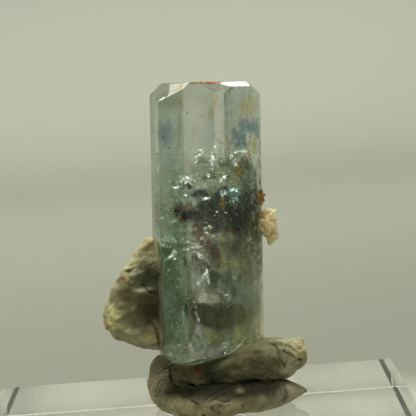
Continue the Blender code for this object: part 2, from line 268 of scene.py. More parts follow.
class Board:
    """The node board of one material."""

    def __init__(self, name):
        self.material = bpy.data.materials.new(name)
        self.material.use_nodes = True
        self.tree = self.material.node_tree
        self.tree.nodes.clear()
        self.place = self.node("ShaderNodeTexCoord").out("Object")

    def node(self, kind, settings=None, inputs=None):
        """Add a node: settings first, then each socket's value or link."""
        made = self.tree.nodes.new(kind)
        for key, setting in (settings or {}).items():
            if key == "stops":
                self.fill_ramp(made.color_ramp, setting)
            else:
                setattr(made, key, setting)
        for key, item in (inputs or {}).items():
            source = getattr(item, "socket", item)
            if isinstance(source, bpy.types.NodeSocket):
                self.tree.links.new(source, made.inputs[key])
            else:
                made.inputs[key].default_value = source
        return Made(self, made)

    @staticmethod
    def fill_ramp(ramp, stops):
        while len(ramp.elements) < len(stops):
            ramp.elements.new(1.0)
        for element, (position, colour) in zip(ramp.elements, stops):
            element.position = position
            element.color = (*colour, 1.0)

    def noise(self, size, detail=4.0, roughness=0.6, vector=None, distortion=0.0):
        """Clouds with features of that size in metres, from 0 to 1."""
        inputs = {"Vector": vector or self.place, "Scale": 1 / size, "Detail": detail,
                  "Roughness": roughness, "Distortion": distortion}
        return self.node("ShaderNodeTexNoise", None, inputs).value("Fac")

    def stored(self, name):
        """A number kept on the mesh under that name."""
        return self.node("ShaderNodeAttribute", {"attribute_name": name}).value("Fac")

    def blend(self, share, first, second, how="MIX"):
        """Mix of two colours by a share."""
        settings = {"data_type": "RGBA", "blend_type": how}
        keys = (("Factor_Float", share), ("A_Color", first), ("B_Color", second))
        made = self.node("ShaderNodeMix", settings)
        for key, item in keys:
            socket = next(s for s in made.made.inputs if s.identifier == key)
            source = getattr(item, "socket", item)
            if isinstance(source, bpy.types.NodeSocket):
                self.tree.links.new(source, socket)
            else:
                socket.default_value = source if key == "Factor_Float" else (*source, 1.0)
        return next(s for s in made.made.outputs if s.identifier == "Result_Color")

    def near(self, centre, radius, soft=0.5, stretch=(1, 1, 1)):
        """1 inside a spot of that radius round a place, falling to 0 at its soft rim."""
        inputs = {0: self.place, 1: tuple(centre)}
        away = self.node("ShaderNodeVectorMath", {"operation": "SUBTRACT"}, inputs).out()
        scaled = {0: away, 1: tuple(1 / s for s in stretch)}
        away = self.node("ShaderNodeVectorMath", {"operation": "MULTIPLY"}, scaled).out()
        length = self.node("ShaderNodeVectorMath", {"operation": "LENGTH"}, {0: away}).value("Value")
        return length.step(radius, radius * soft)

    def bump(self, height, distance, strength=1.0, normal=None):
        inputs = {"Height": height, "Distance": distance, "Strength": strength}
        if normal is not None:
            inputs["Normal"] = normal
        return self.node("ShaderNodeBump", None, inputs).out()

    def finish(self, inputs, volume=None):
        """Principled surface with those sockets, and a volume if one is given."""
        shader = self.node("ShaderNodeBsdfPrincipled", None, inputs).out()
        sockets = {"Surface": shader}
        if volume is not None:
            sockets["Volume"] = volume
        self.node("ShaderNodeOutputMaterial", None, sockets)
        return self.material


def rgb(red, green, blue):
    """Scene-linear colour of an on-screen colour from 0 to 255: the standard display curve undone."""
    screen = np.array([red, green, blue]) / 255
    linear = np.where(screen <= 0.04045, screen / 12.92, ((screen + 0.055) / 1.055) ** 2.4)
    return tuple(float(v) for v in linear)


# %% [markdown]
# ## The crystal's own planes
# A crystal is the space inside a set of flat faces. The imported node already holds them, so they are
# read from it: each triangle gives a normal and a distance, and repeated pairs are dropped. The
# flat end is the face that points up the most, and its normal is the crystal's axis.


# %% Read the planes
def node_planes(name):
    """Normals and distances of a convex node's faces, repeats dropped by rounding."""
    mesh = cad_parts[name].data
    normals = np.zeros(len(mesh.polygons) * 3)
    centres = np.zeros(len(mesh.polygons) * 3)
    areas = np.zeros(len(mesh.polygons))
    mesh.polygons.foreach_get("normal", normals)
    mesh.polygons.foreach_get("center", centres)
    mesh.polygons.foreach_get("area", areas)
    normals, centres = normals.reshape(-1, 3), centres.reshape(-1, 3)
    kept = areas > (0.05 * MM) ** 2
    normals, centres = normals[kept], centres[kept]
    _, picked = np.unique(np.round(normals, 2), axis=0, return_index=True)
    return normals[picked], (normals[picked] * centres[picked]).sum(axis=1)


plane_normals, plane_distances = node_planes("aquamarine_crystal")
axis = plane_normals[plane_normals[:, 2].argmax()]
heights = np.array([v.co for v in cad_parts["aquamarine_crystal"].data.vertices]) @ axis
BASE_HEIGHT, TOP_HEIGHT = heights.min(), heights.max()
side_x = np.cross(axis, (0, 1, 0))
side_x = -side_x / np.linalg.norm(side_x)
side_y = np.cross(axis, side_x)
if side_x[0] < 0:
    side_x, side_y = -side_x, -side_y
turn = np.stack([side_x, side_y, axis])
sides = np.abs(plane_normals @ axis) < 0.02
print(len(plane_normals), "faces,", int(sides.sum()), "of them sides")

# %% [markdown]
# ## The crystal's skin
# Beryl grows smooth glassy sides with faint upright lines, and snaps off with shell-like ripples.
# Flat polygons would look like cut glass. Instead rays leave a spine inside the crystal and stop at
# the nearest plane, with a soft minimum that rounds each edge by a few hundredths of a millimetre,
# and a relief is then added along each ray.

# %% Crystal surface
SPINE_INSET = 6 * MM
EDGE_SHARPNESS = 1600
COLUMN_STEP = 0.2 * MM
ROWS = {"end": 48, "bevel": 16, "side": 200, "broken": 64}
BROKEN_HEIGHT = 3.6 * MM

base_centre = np.array([2.75, -1.2, 34.2]) * MM
half_length = (TOP_HEIGHT - BASE_HEIGHT) / 2 - SPINE_INSET
centre = base_centre + axis * ((BASE_HEIGHT + TOP_HEIGHT) / 2 - base_centre @ axis)
up_share = plane_normals @ axis
kinds = np.select([up_share > 0.99, up_share > 0.02, up_share < -0.02], [0, 1, 3], 2)


def reach_to_planes(origins, directions):
    """Distance to the nearest plane, softened: the p-norm of the inverse distances, inverted again."""
    facing = directions @ plane_normals.T
    gap = plane_distances - origins @ plane_normals.T
    inverse = np.where(facing > 1e-6, facing, 0) / gap
    peak = inverse.max(axis=-1, keepdims=True)
    total = ((inverse / peak) ** EDGE_SHARPNESS).sum(axis=-1) ** (1 / EDGE_SHARPNESS)
    ranked = np.sort(inverse, axis=-1)
    nearness = 1 / np.maximum(ranked[..., -2], 1e-9) - 1 / ranked[..., -1]
    return 1 / (peak[..., 0] * total), nearness, inverse.argmax(axis=-1)


def path(course, outward):
    """Ray for a place on the way down: 0 to 1 swings level, 1 to 2 slides down, 2 to 3 swings under."""
    swing = np.clip(course, 0, 1) + np.clip(course - 2, 0, 1)
    tilt = swing * np.pi / 2
    along = half_length * (1 - 2 * np.clip(course - 1, 0, 1))
    origins = centre + along[..., None] * axis
    directions = np.sin(tilt)[..., None] * outward + np.cos(tilt)[..., None] * axis
    return origins, directions


def column_angles():
    """Angles round the spine: evenly between the upright edges, with close pairs either side of each."""
    fine = np.linspace(0, 2 * np.pi, 40001)
    outward = np.cos(fine)[:, None] * side_x + np.sin(fine)[:, None] * side_y
    reach, _, face = reach_to_planes(centre + 0 * outward, outward)
    edges = fine[1:][np.diff(face) != 0]
    girth = np.append(edges, edges[0] + 2 * np.pi)
    angles = []
    for first, last in zip(girth[:-1], girth[1:]):
        wide = reach.mean() * (last - first)
        hair = 0.03 * MM / reach.mean()
        angles.append(np.linspace(first + hair, last - hair, max(4, int(wide / COLUMN_STEP))))
        angles.append([last])
    return np.concatenate(angles)


def course_table(outward):
    """For each column, the way down so that rows fall exactly on the edges between kinds of face."""
    fine = np.linspace(0, 3, 3001)
    origins, directions = path(fine[:, None] + 0 * outward[None, :, 0], outward[None])
    kind = kinds[reach_to_planes(origins, directions)[2]]
    cuts = [np.zeros(len(outward))]
    for k in range(3):
        cuts.append(fine[np.clip((kind <= k).sum(axis=0) - 1, 1, 2999)])
    cuts.append(np.full(len(outward), 3.0))
    hair = 0.003
    table = []
    for k, count in enumerate(ROWS.values()):
        low, high = cuts[k] + hair * (k > 0), np.maximum(cuts[k + 1] - hair * (k < 3), cuts[k] + 2 * hair)
        share = (np.arange(count) + (k == 0)) / (count - (k < 3) * 1 + (k == 0) * 1)
        table.append(low + (high - low) * share[:, None])
    return np.sort(np.concatenate(table), axis=0)


angles = column_angles()
outward = np.cos(angles)[:, None] * side_x + np.sin(angles)[:, None] * side_y
origins, directions = path(course_table(outward), outward[None])
reach, nearness, face = reach_to_planes(origins, directions)
skin = origins + directions * reach[..., None]
local = skin @ turn.T
drawn_out = local * np.array([1, 1, 0.035])
upright = smooth_noise(drawn_out, 0.55 * MM, 3) * 0.6 + smooth_noise(drawn_out, 0.2 * MM, 4) * 0.4
growth = broken_noise(local * np.array([1, 1, 0.22]), 3.2 * MM, 40)
edge = np.exp(-((nearness / (0.22 * MM)) ** 2))
nick = np.clip(smooth_noise(local, 0.9 * MM, 6) * 1.6 - 0.8, 0, 1) * edge
broken = np.clip((BROKEN_HEIGHT + 0.5 * MM - (local[..., 2] - BASE_HEIGHT)) / MM, 0, 1)
down_face = np.clip((directions @ -axis) * 3, 0, 1)
broken = broken * down_face
shell = broken_noise(local, 2.6 * MM, 70) * 0.34 + smooth_noise(local, 0.7 * MM, 71) * 0.07
polish = np.where(kinds[face] < 2, 0.1, 1.0)
relief = (upright * 0.0035 + growth * 0.012) * polish * (1 - broken) - nick * 0.1 + shell * broken
skin = skin + directions * (relief * MM)[..., None]
poles = np.array([centre + axis * (TOP_HEIGHT - centre @ axis),
                  skin[-1].mean(axis=0)])
crystal = closed_stack("aquamarine", skin, poles)
store(crystal, "broken", broken)
store(crystal, "edge", edge)
print("crystal skin:", len(crystal.data.polygons), "faces")

# %% [markdown]
# ## Placing things inside the crystal
# What is seen inside a crystal is bent by its faces, so a crack can't be placed by eye in space. The
# function below follows the camera's ray through a point of the picture, bends it at the face it
# meets by Snell's law, and walks to a depth. Whatever is put there shows at that point.

# %% Rays into the crystal
IOR = 1.57
PICTURE = 416
FOCAL = LENS / camera_data.sensor_width * PICTURE


def sight(across, down):
    """Directions of the camera's rays through points of the picture, in its own pixel frame."""
    across, down = np.asarray(across, float), np.asarray(down, float)
    ray = (np.array(forward) * FOCAL + (across[..., None] - PICTURE / 2) * np.array(right)
           - (down[..., None] - PICTURE / 2) * np.array(up))
    return ray / np.linalg.norm(ray, axis=-1, keepdims=True)


def picture_place(points):
    """Where points show in the picture with nothing in front: places along the camera's axes over depth."""
    away = points - np.array(CAMERA_PLACE)
    far = away @ np.array(forward)
    return (PICTURE / 2 + FOCAL * (away @ np.array(right)) / far,
            PICTURE / 2 - FOCAL * (away @ np.array(up)) / far)


def bend(across, down):
    """Where the camera's ray enters, the direction it is bent to, the room behind, the face, and if it hits."""
    ray = sight(across, down)
    start = np.array(CAMERA_PLACE)
    facing = ray @ plane_normals.T
    gap = plane_distances - start @ plane_normals.T
    times = gap / np.where(np.abs(facing) < 1e-9, 1e-9, facing)
    entering = np.where(facing < 0, times, -np.inf)
    leaving = np.where(facing > 0, times, np.inf)
    enter, face = entering.max(axis=-1), entering.argmax(axis=-1)
    hit = enter < leaving.min(axis=-1)
    normal = plane_normals[face]
    point = start + ray * enter[..., None]
    cosine = -(ray * normal).sum(axis=-1, keepdims=True)
    ratio = 1 / IOR
    bent = ratio * ray + (ratio * cosine - np.sqrt(1 - ratio ** 2 * (1 - cosine ** 2))) * normal
    facing = bent @ plane_normals.T
    room = (plane_distances - point @ plane_normals.T) / np.where(facing > 1e-6, facing, 1e-6)
    return point, bent, np.where(facing > 1e-6, room, np.inf).min(axis=-1), face, hit


def inside(across, down, depth, keep=0.25 * MM):
    """Points at a depth behind the crystal's face along the bent ray, and a mask of the rays that hit."""
    point, bent, room, _, hit = bend(across, down)
    walk = np.clip(depth, keep, np.maximum(room - keep, keep))
    return point + bent * walk[..., None], hit


def seen_at(points, rounds=14):
    """Picture place at which each inner point is seen: guess, trace the bent ray, correct by the miss."""
    far = (points - np.array(CAMERA_PLACE)) @ np.array(forward)
    across, down = picture_place(points)
    for _ in range(rounds):
        start, bent, _, _, hit = bend(across, down)
        walk = ((points - start) @ np.array(forward)) / (bent @ np.array(forward))
        miss = points - start - bent * walk[..., None]
        across = across + np.where(hit, 0.7 * FOCAL * (miss @ np.array(right)) / far, 0)
        down = down - np.where(hit, 0.7 * FOCAL * (miss @ np.array(up)) / far, 0)
    return across, down


print("focal length in pixels:", round(FOCAL, 1))

# %% [markdown]
# ## Healed cracks
# The lower two thirds of the crystal are crossed by healed cracks: ragged curtains, wavy like broken
# glass, grey-green and smoky, frosted along their upper rim. Each curtain is a wavy grid across the
# crystal. Cells are dropped where its cover is thin, and the rest is closed with a back and a rim.
# The colour is a soft mix of named tints around the places where they are seen.
# The white along the upper rim and in other flashes is partly painted highlight, and the darkest tints are painted
# shade.

# %% Curtains
TINTS = {
    "frost": rgb(236, 244, 240),
    "pale": rgb(236, 238, 198),
    "grey": rgb(200, 212, 174),
    "teal": rgb(184, 208, 176),
    "mist": rgb(216, 236, 226),
    "moss": rgb(120, 130, 96),
    "olive": rgb(160, 154, 92),
    "shade": rgb(88, 94, 72),
    "night": rgb(30, 34, 36),
    "navy": rgb(34, 52, 74),
    "slate": rgb(120, 140, 124),
    "blue": rgb(150, 176, 164),
    "ice": rgb(196, 228, 240),
    "cream": rgb(246, 236, 168),
    "ochre": rgb(178, 132, 52),
    "straw": rgb(226, 188, 70),
    "peach": rgb(255, 232, 186),
    "orange": rgb(186, 104, 36),
    "stone": rgb(140, 140, 110),
    "sand": rgb(196, 186, 140),
    "dusk": rgb(62, 60, 34),
    "bark": rgb(128, 96, 56),
    "clay": rgb(190, 150, 100),
    "brick": rgb(158, 98, 52),
    "rust": rgb(128, 70, 32),
    "maroon": rgb(116, 62, 34),
    "black": rgb(14, 12, 14),
    "tack": rgb(120, 115, 86),
    # painted_shade is painted shadow: the plate's shadow over the putty's top, shade under the crystal and in a
    # crevice.
    "painted_shade": rgb(34, 34, 22),
    # painted_light is painted light: the putty's lit underside, left rim and a spot, and a light patch in the crystal.
    "painted_light": rgb(198, 192, 150),
    "bone": rgb(206, 200, 168),
    "tan": rgb(164, 156, 114),
    "fern": rgb(92, 90, 58),
}
# Picture place, spreads in pixels, tint and strength of the colours that the cracks carry.
# Rust, brick, maroon, clay, ochre and black are iron stains; frost, ice and mist are partly painted highlight, where a
# crack flashes;
# night, navy and shade are painted shade, where the crystal shows dark.
CURTAIN_TINTS = (
    (168, 178, 12, 30, "mist", 2.0),
    (172, 232, 12, 24, "mist", 1.4),
    (172, 295, 14, 32, "teal", 1.0),
    (205, 170, 14, 12, "grey", 1.0),
    (200, 163, 6, 5, "moss", 2.0),
    (223, 163, 6, 4, "moss", 2.0),
    (213, 164, 2.5, 8, "frost", 3.0),
    (200, 154, 6, 1.5, "frost", 5.0),
    (233, 159, 4, 4, "frost", 3.0),
    (242, 153, 5, 1.6, "frost", 5.0),
    (208, 172, 8, 3, "pale", 1.5),
    (208, 178, 10, 1.5, "shade", 2.0),
    (212, 181, 5, 3, "grey", 2.0),
    (204, 184, 5, 4, "grey", 1.5),
    (186, 184, 4, 2.5, "navy", 5.0),
    (186, 179.5, 4, 1.5, "frost", 5.0),
    (200, 192, 8, 4, "navy", 2.0),
    (195, 194, 5, 3, "navy", 2.0),
    (222, 190, 6, 3, "navy", 3.5),
    (230, 190, 5, 3, "ice", 9.0),
    (233, 198, 3.5, 4, "ice", 9.0),
    (218, 196, 4, 3, "navy", 2.0),
    (211, 188, 4, 6, "grey", 3.0),
    (240, 162, 5, 6, "moss", 1.5),
    (247, 170, 3, 7, "shade", 2.0),
    (239, 170, 3, 5, "sand", 1.2),
    (234, 182, 3, 3, "sand", 1.2),
    (244, 186, 7, 7, "slate", 2.0),
    (252, 200, 8, 14, "shade", 2.0),
    (240, 217, 13, 12, "night", 2.4),
    (189, 265, 5, 4, "night", 4.0),
    (165, 212, 7, 14, "pale", 1.6),
    (190, 204, 7, 5, "mist", 2.0),
    (178, 208, 3.5, 3.5, "maroon", 5.0),
    (177, 213, 2, 2, "black", 7.0),
    (172, 214, 2.5, 1, "maroon", 5.0),
    (186, 210.5, 2.5, 1.8, "clay", 6.0),
    (189, 215, 4.5, 2.5, "black", 7.0),
    (194, 218, 3, 2.5, "black", 6.0),
    (196, 213, 2, 3, "maroon", 6.0),
    (181, 220, 2.2, 1.8, "brick", 6.0),
    (175, 221, 3, 2, "pale", 4.0),
    (206, 206, 8, 6, "shade", 3.0),
    (213, 213, 4, 12, "night", 4.0),
    (206, 220, 7, 7, "night", 1.2),
    (215, 223, 3, 6, "night", 4.0),
    (222, 212, 4, 9, "shade", 2.5),
    (230, 212, 6, 4, "navy", 4.0),
    (238, 220, 6, 6, "night", 4.0),
    (236, 234, 4, 6, "shade", 2.5),
    (194, 225, 4, 2.5, "brick", 2.0),
    (197, 234, 2.5, 2, "brick", 3.0),
    (200, 241, 2.5, 2.5, "maroon", 3.5),
    (205, 244, 3, 2.5, "rust", 3.0),
    (212, 251, 2.6, 3.6, "rust", 3.5),
    (225, 250, 2.0, 4, "clay", 1.5),
    (207, 264, 2.2, 2.5, "maroon", 3.0),
    (216, 237, 7, 4, "pale", 2.0),
    (229, 236, 6, 4, "clay", 1.6),
    (211, 256, 5, 4, "pale", 2.0),
    (199, 257, 3, 3, "pale", 2.5),
    (234, 245, 4, 2.5, "night", 3.5),
    (235, 251, 3, 2, "navy", 3.5),
    (228, 258, 3, 3, "pale", 2.0),
    (251, 226, 7, 8, "olive", 1.6),
    (248, 247, 6, 5, "olive", 2.0),
    (236, 256, 4, 3, "olive", 2.0),
    (240, 266, 5, 5, "pale", 1.8),
    (226, 266, 5, 6, "cream", 1.8),
    (180, 240, 7, 4, "pale", 1.6),
    (188, 250, 7, 3, "moss", 1.8),
    (195, 249, 5, 3, "pale", 2.5),
    (189, 258, 5, 4, "shade", 3.5),
    (175, 250, 7, 9, "pale", 1.4),
    (166, 266, 8, 6, "grey", 1.6),
    (200, 269, 4, 4, "shade", 2.5),
    (222, 278, 5, 4, "slate", 2.5),
    (231, 275, 3, 5, "pale", 2.0),
    (237, 280, 3, 3, "shade", 2.0),
    (176, 292, 9, 9, "grey", 1.4),
    (192, 290, 5, 9, "slate", 1.8),
    (209, 299, 8, 5, "pale", 3.0),
    (208, 280, 7, 5, "moss", 3.0),
    (204, 314, 12, 6, "stone", 3.0),
    (222, 320, 5, 12, "moss", 2.0),
    (232, 290, 8, 8, "slate", 1.6),
    (249, 290, 11, 14, "blue", 1.8),
    (247, 262, 8, 12, "olive", 1.2),
    (182, 322, 12, 14, "grey", 1.2),
    (240, 312, 12, 8, "olive", 1.4),
    (245, 335, 13, 8, "cream", 1.6),
    (214, 338, 4, 5, "cream", 4.0),
    (208, 351, 14, 8, "pale", 1.6),
    (186, 352, 5, 4, "ochre", 2.0),
)


def mixed_tint(across, down, rows, base, weight=0.15):
    """Average of the tints, each weighed by its strength and a bell curve round its place."""
    total = np.full(across.shape, weight)
    colour = np.array(base) * weight + np.zeros(across.shape + (1,))
    for x, y, wide, tall, tint, strength in rows:
        share = strength * np.exp(-(((across - x) / wide) ** 2) - ((down - y) / tall) ** 2)
        total = total + share
        colour = colour + share[..., None] * np.array(TINTS[tint])
    return colour / total[..., None]


def within(across, down, corners):
    """True inside a closed outline in the picture, by counting the sides to the right of each point."""
    odd = np.zeros(across.shape, bool)
    for (x0, y0), (x1, y1) in zip(corners, corners[1:] + corners[:1]):
        if y0 != y1:
            crossing = x0 + (down - y0) / (y1 - y0) * (x1 - x0)
            odd ^= ((down < y0) != (down < y1)) & (across < crossing)
    return odd


def line_distance(across, down, line):
    """Distance in the picture from a line of straight stretches: the least over its stretches."""
    place = np.stack([across, down], axis=-1)
    least = np.full(across.shape, np.inf)
    for first, last in zip(np.array(line[:-1], float), np.array(line[1:], float)):
        along = last - first
        share = np.clip(((place - first) @ along) / (along @ along), 0, 1)
        least = np.minimum(least, np.linalg.norm(place - first - share[..., None] * along, axis=-1))
    return least


def sharp_marks(across, down, tint, total):
    """Lay the panes and then the strokes over the soft tints; panes may thin the cover as well."""
    for corners, colour, strength, thicker in PANES:
        edge = line_distance(across, down, corners + corners[:1])
        share = np.where(within(across, down, corners), np.clip(0.5 + edge, 0, 1), 0)
        tint = tint + (np.array(TINTS[colour]) - tint) * (strength * share)[..., None]
        total = total + thicker * share
    for line, width, colour, strength in STROKES:
        share = strength * np.exp(-((line_distance(across, down, line) / width) ** 2))
        tint = tint + (np.array(TINTS[colour]) - tint) * np.clip(share, 0, 1)[..., None]
        total = total + share
    return tint, total


def no_corner_touch(kept):
    """Fill one cell wherever two kept cells meet only at a corner, so that no edge has four faces."""
    kept = kept.copy()
    for _ in range(12):
        a, b, c, d = kept[:-1, :-1], kept[:-1, 1:], kept[1:, :-1], kept[1:, 1:]
        falling = a & d & ~b & ~c
        rising = b & c & ~a & ~d
        if not (falling.any() or rising.any()):
            break
        kept[:-1, 1:] |= falling
        kept[:-1, :-1] |= rising
    return kept


def closed_sheet(name, front, back, kept):
    """Front and back of the kept cells joined by a rim along every open edge."""
    rows, columns = front.shape[:2]
    total = rows * columns
    index = np.arange(total).reshape(rows, columns)
    cells = np.stack([index[:-1, :-1], index[:-1, 1:], index[1:, 1:], index[1:, :-1]], axis=-1)[kept]
    edges = np.concatenate([np.stack([cells[:, k], cells[:, (k + 1) % 4]], axis=1) for k in range(4)])
    border = ~np.isin(edges[:, 0] * total + edges[:, 1], edges[:, 1] * total + edges[:, 0])
    rim = edges[border]
    rim = np.stack([rim[:, 1], rim[:, 0], rim[:, 0] + total, rim[:, 1] + total], axis=1)
    faces = np.concatenate([cells, cells[:, ::-1] + total, rim])
    used, faces = np.unique(faces, return_inverse=True)
    points = np.concatenate([front.reshape(-1, 3), back.reshape(-1, 3)])[used]
    return new_piece(name, points, faces.reshape(-1, 4)), used % total


def keep_tint(piece, colours):
    """Keep one colour per point on the mesh."""
    layer = piece.data.attributes.new("tint", "FLOAT_COLOR", "POINT")
    full = np.concatenate([np.clip(colours, 0, 1), np.ones((len(colours), 1))], axis=1)
    layer.data.foreach_set("color", full.ravel())


def curtain(name, middle, lean, cover, seed, cell=0.17 * MM, thickness=0.05 * MM):
    """Wavy sheet across the crystal at a distance behind its axis, kept where something covers it.

    Cover rows are picture place, spreads in pixels and strength. Their bell curves are summed, a
    noise is added, and the sum stays on the sheet for its finish to turn into wisps.
    """
    u = np.arange(-11 * MM, 11 * MM, cell)
    w = np.arange(BASE_HEIGHT + 0.3 * MM, TOP_HEIGHT - 8 * MM, cell)
    u, w = np.meshgrid(u, w)
    flat = np.stack([u, 0 * u, w], axis=-1)
    v = middle + lean * u + (1.6 * smooth_noise(flat, 6 * MM, seed) + 0.7 * broken_noise(flat, 2.4 * MM, seed + 1)
                             + 0.25 * broken_noise(flat, 0.9 * MM, seed + 2)) * MM
    local_axis = base_centre @ turn.T
    points = np.stack([u + local_axis[0], v + local_axis[1], w], axis=-1) @ turn
    clear = (plane_distances - points @ plane_normals.T).min(axis=-1)
    seen_across, seen_down = seen_at(points)
    warp = np.stack([smooth_noise(points, 2.2 * MM, seed + 3 + k) for k in range(2)], axis=-1) * 5
    across, down = seen_across + warp[..., 0], seen_down + warp[..., 1]
    total = np.zeros(u.shape)
    for x, y, wide, tall, strength in cover:
        total = total + strength * np.exp(-(((across - x) / wide) ** 2) - ((down - y) / tall) ** 2)
    solid = (total > 0.1) & (clear > 0.3 * MM)
    total = total + 0.25 * smooth_noise(points, 1.6 * MM, seed + 6) + 0.2 * smooth_noise(points, 0.6 * MM, seed + 7)
    total = total * np.clip(clear / (1.2 * MM), 0, 1)
    kept = no_corner_touch(solid[:-1, :-1] & solid[1:, :-1] & solid[:-1, 1:] & solid[1:, 1:])
    back = points + side_y * thickness
    piece, used = closed_sheet(name, points, back, kept)
    tint = mixed_tint(across, down, CURTAIN_TINTS, TINTS["grey"])
    slight = 0.25 * warp
    tint, total = sharp_marks(seen_across + slight[..., 0], seen_down + slight[..., 1], tint, total)
    total = total + np.clip(0.35 - tint.mean(axis=-1), 0, 1) * 2.5 * np.clip(total, 0, 1)
    mottle = smooth_noise(points, 0.9 * MM, seed + 8) * 0.5 + smooth_noise(points, 0.3 * MM, seed + 9) * 0.5
    calm = np.clip((seen_down - CALM[0]) / 22, 0, 1) * np.clip((CALM[1] - seen_down) / 10, 0, 1)
    past = seen_across - BACK_EDGE[0] - (seen_down - BACK_EDGE[1]) * BACK_EDGE[2]
    # Painted light and shade: the tints are lighter to the right of where the hindmost edge shows and darker to its
    # left.
    edge_light_and_shade = 0.3 * np.sign(past) * np.exp(-np.abs(past) / 4)
    tint = tint * (1 + (0.55 - 0.3 * calm) * mottle + edge_light_and_shade)[..., None] * GREENER
    # Painted sparkle: frost-white blotches at random stand for glints, fewer where the cracks are calm.
    spark = np.clip(smooth_noise(points, 0.6 * MM, seed + 10) * 2.2 - 1.0, 0, 1)
    tint = tint + (np.array(TINTS["frost"]) - tint) * (0.5 * spark * (1 - 0.8 * calm))[..., None]
    keep_tint(piece, tint.reshape(-1, 3)[used])
    silver = np.clip(smooth_noise(points, 1.1 * MM, seed + 11) * 2 - 0.3, 0, 1)
    store(piece, "silver", silver.ravel()[used])
    store(piece, "cover", total.ravel()[used])
    store(piece, "rough", 1 - 0.75 * calm.ravel()[used])
    print(name, len(piece.data.polygons), "faces")
    return piece


# Straight-edged patches, where one crack ends against another: corners, tint, strength, added cover.
# The shade, night, navy, moss and stone panes are painted shade; the ice, cream, sand and painted_light panes are
# painted light.
PANES = (
    (((198, 296), (206, 293), (218, 295), (218.5, 303), (198, 303)), "painted_light", 0.25, -0.45),
    (((187, 303), (204, 303), (212, 306), (219, 313), (221, 322), (210, 327), (196, 323), (189, 313)), "stone", 0.9, 0.9),
    (((209, 332), (219, 331), (219.5, 344), (213, 343), (209.5, 338)), "cream", 1.0, 0.2),
    (((221, 306), (243, 304), (247, 318), (240, 325), (226, 326)), "sand", 0.6, 0.4),
    (((199, 205), (217, 203), (217.5, 228), (208, 230), (200, 224)), "shade", 0.35, 0.5),
    (((225, 210), (236, 207), (245, 214), (249, 226), (238, 232), (228, 226)), "night", 0.8, 0.8),
    (((198, 158), (205, 156), (208, 164), (206, 170), (197, 168)), "moss", 0.2, 0.2),
    (((218, 158), (226, 157), (231, 163), (224, 168), (219, 167)), "moss", 0.2, 0.2),
    (((228, 190), (233, 186), (237, 189), (238, 196), (234, 204), (230, 199), (232, 193)), "ice", 0.8, 0.5),
    (((191, 190), (200, 189), (206, 191), (203, 195), (196, 198), (191, 195)), "navy", 0.4, 0.1),
    (((216, 191), (221, 189), (224, 191), (221, 195), (217, 195)), "navy", 0.6, 0.5),
    (((188, 258), (202, 252), (214, 258), (216, 274), (219, 292), (196, 294), (189, 282)), "shade", 0.4, 0.0),
)
# Bright and dark lines, where a crack is seen on edge: its course, half width in pixels, tint, strength.
# The frost and pale lines are painted highlights, where a crack flashes, and the night ones painted shade; the rust,
# brick and ochre ones are iron stains.
STROKES = (
    (((160, 240), (166, 237), (169, 238)), 1.2, "frost", 1.2),
    (((168, 237), (176, 238), (172, 244), (170, 240)), 1.2, "frost", 1.1),
    (((161, 244), (166, 248)), 0.9, "frost", 0.9),
    (((168, 260), (173, 256), (176, 250), (175, 254)), 1.2, "frost", 1.2),
    (((182, 241), (190, 243), (198, 241)), 0.9, "pale", 0.8),
    (((187, 248), (194, 246), (200, 247)), 1.0, "frost", 0.8),
    (((190, 252), (196, 249), (201, 251)), 0.8, "pale", 0.7),
    (((198, 286), (201, 281), (206, 276)), 0.8, "frost", 1.2),
    (((206, 273), (209, 280)), 0.9, "frost", 1.2),
    (((198, 284), (197.5, 303)), 0.7, "pale", 0.8),
    (((194, 312), (196.5, 314), (198, 320), (198, 335)), 0.8, "frost", 0.7),
    (((192, 316), (193, 326), (196, 338)), 0.7, "pale", 0.5),
    (((216, 289), (221, 290), (221, 295)), 1.0, "frost", 1.0),
    (((197, 337), (201, 343), (205, 349)), 1.5, "frost", 1.0),
    (((203, 340), (207, 347)), 1.0, "frost", 0.8),
    (((206, 352), (213, 350), (220, 346)), 1.0, "frost", 1.0),
    (((209, 357), (216, 353), (224, 350)), 0.9, "frost", 1.0),
    (((212, 348), (217, 354), (218, 360)), 0.8, "frost", 0.8),
    (((206, 361), (214, 363), (219, 362)), 1.0, "frost", 1.1),
    (((219, 355), (226, 356)), 0.8, "frost", 0.7),
    (((211, 166), (213, 158), (215, 153)), 1.6, "frost", 0.8),
    (((194, 155), (199, 153.5), (204, 154)), 1.0, "frost", 1.1),
    (((230, 166), (233, 158), (237, 153), (246, 151)), 1.7, "frost", 0.8),
    (((220, 182), (224, 178), (228, 174)), 1.0, "frost", 1.1),
    (((199, 199.5), (206, 198)), 1.2, "frost", 1.3),
    (((221, 191), (225, 195.5)), 0.9, "frost", 1.3),
    (((175, 191), (178, 187), (183, 185)), 0.9, "frost", 0.9),
    (((184, 179), (190, 181), (194, 186)), 1.0, "frost", 0.9),
    (((185, 184), (190, 187)), 1.6, "night", 1.0),
    (((223.5, 196), (223, 207)), 1.0, "ochre", 1.0),
    (((200, 176), (206, 178), (215, 178)), 0.8, "night", 0.6),
    (((204, 228.5), (211, 227.5)), 1.3, "frost", 1.0),
    (((205, 232), (209, 237)), 0.9, "frost", 0.7),
    (((200, 236), (205, 243), (211, 249), (215, 258)), 1.6, "rust", 0.8),
    (((219, 248), (219.5, 268)), 0.8, "brick", 0.7),
    (((214, 250), (218, 262)), 1.0, "rust", 0.5),
    (((221, 310), (222, 322), (219, 330)), 1.0, "ochre", 0.6),
    (((233, 246), (238, 243)), 1.4, "night", 0.8),
    (((226, 262), (229, 272), (233, 279)), 1.6, "pale", 0.6),
)
# Where the crystal's hindmost edge shows: across, down, and its lean in pixels across for one down.
# The cracks carry painted light to the right of this edge and painted shade to its left.
BACK_EDGE = (215.5, 100, 0.0167)
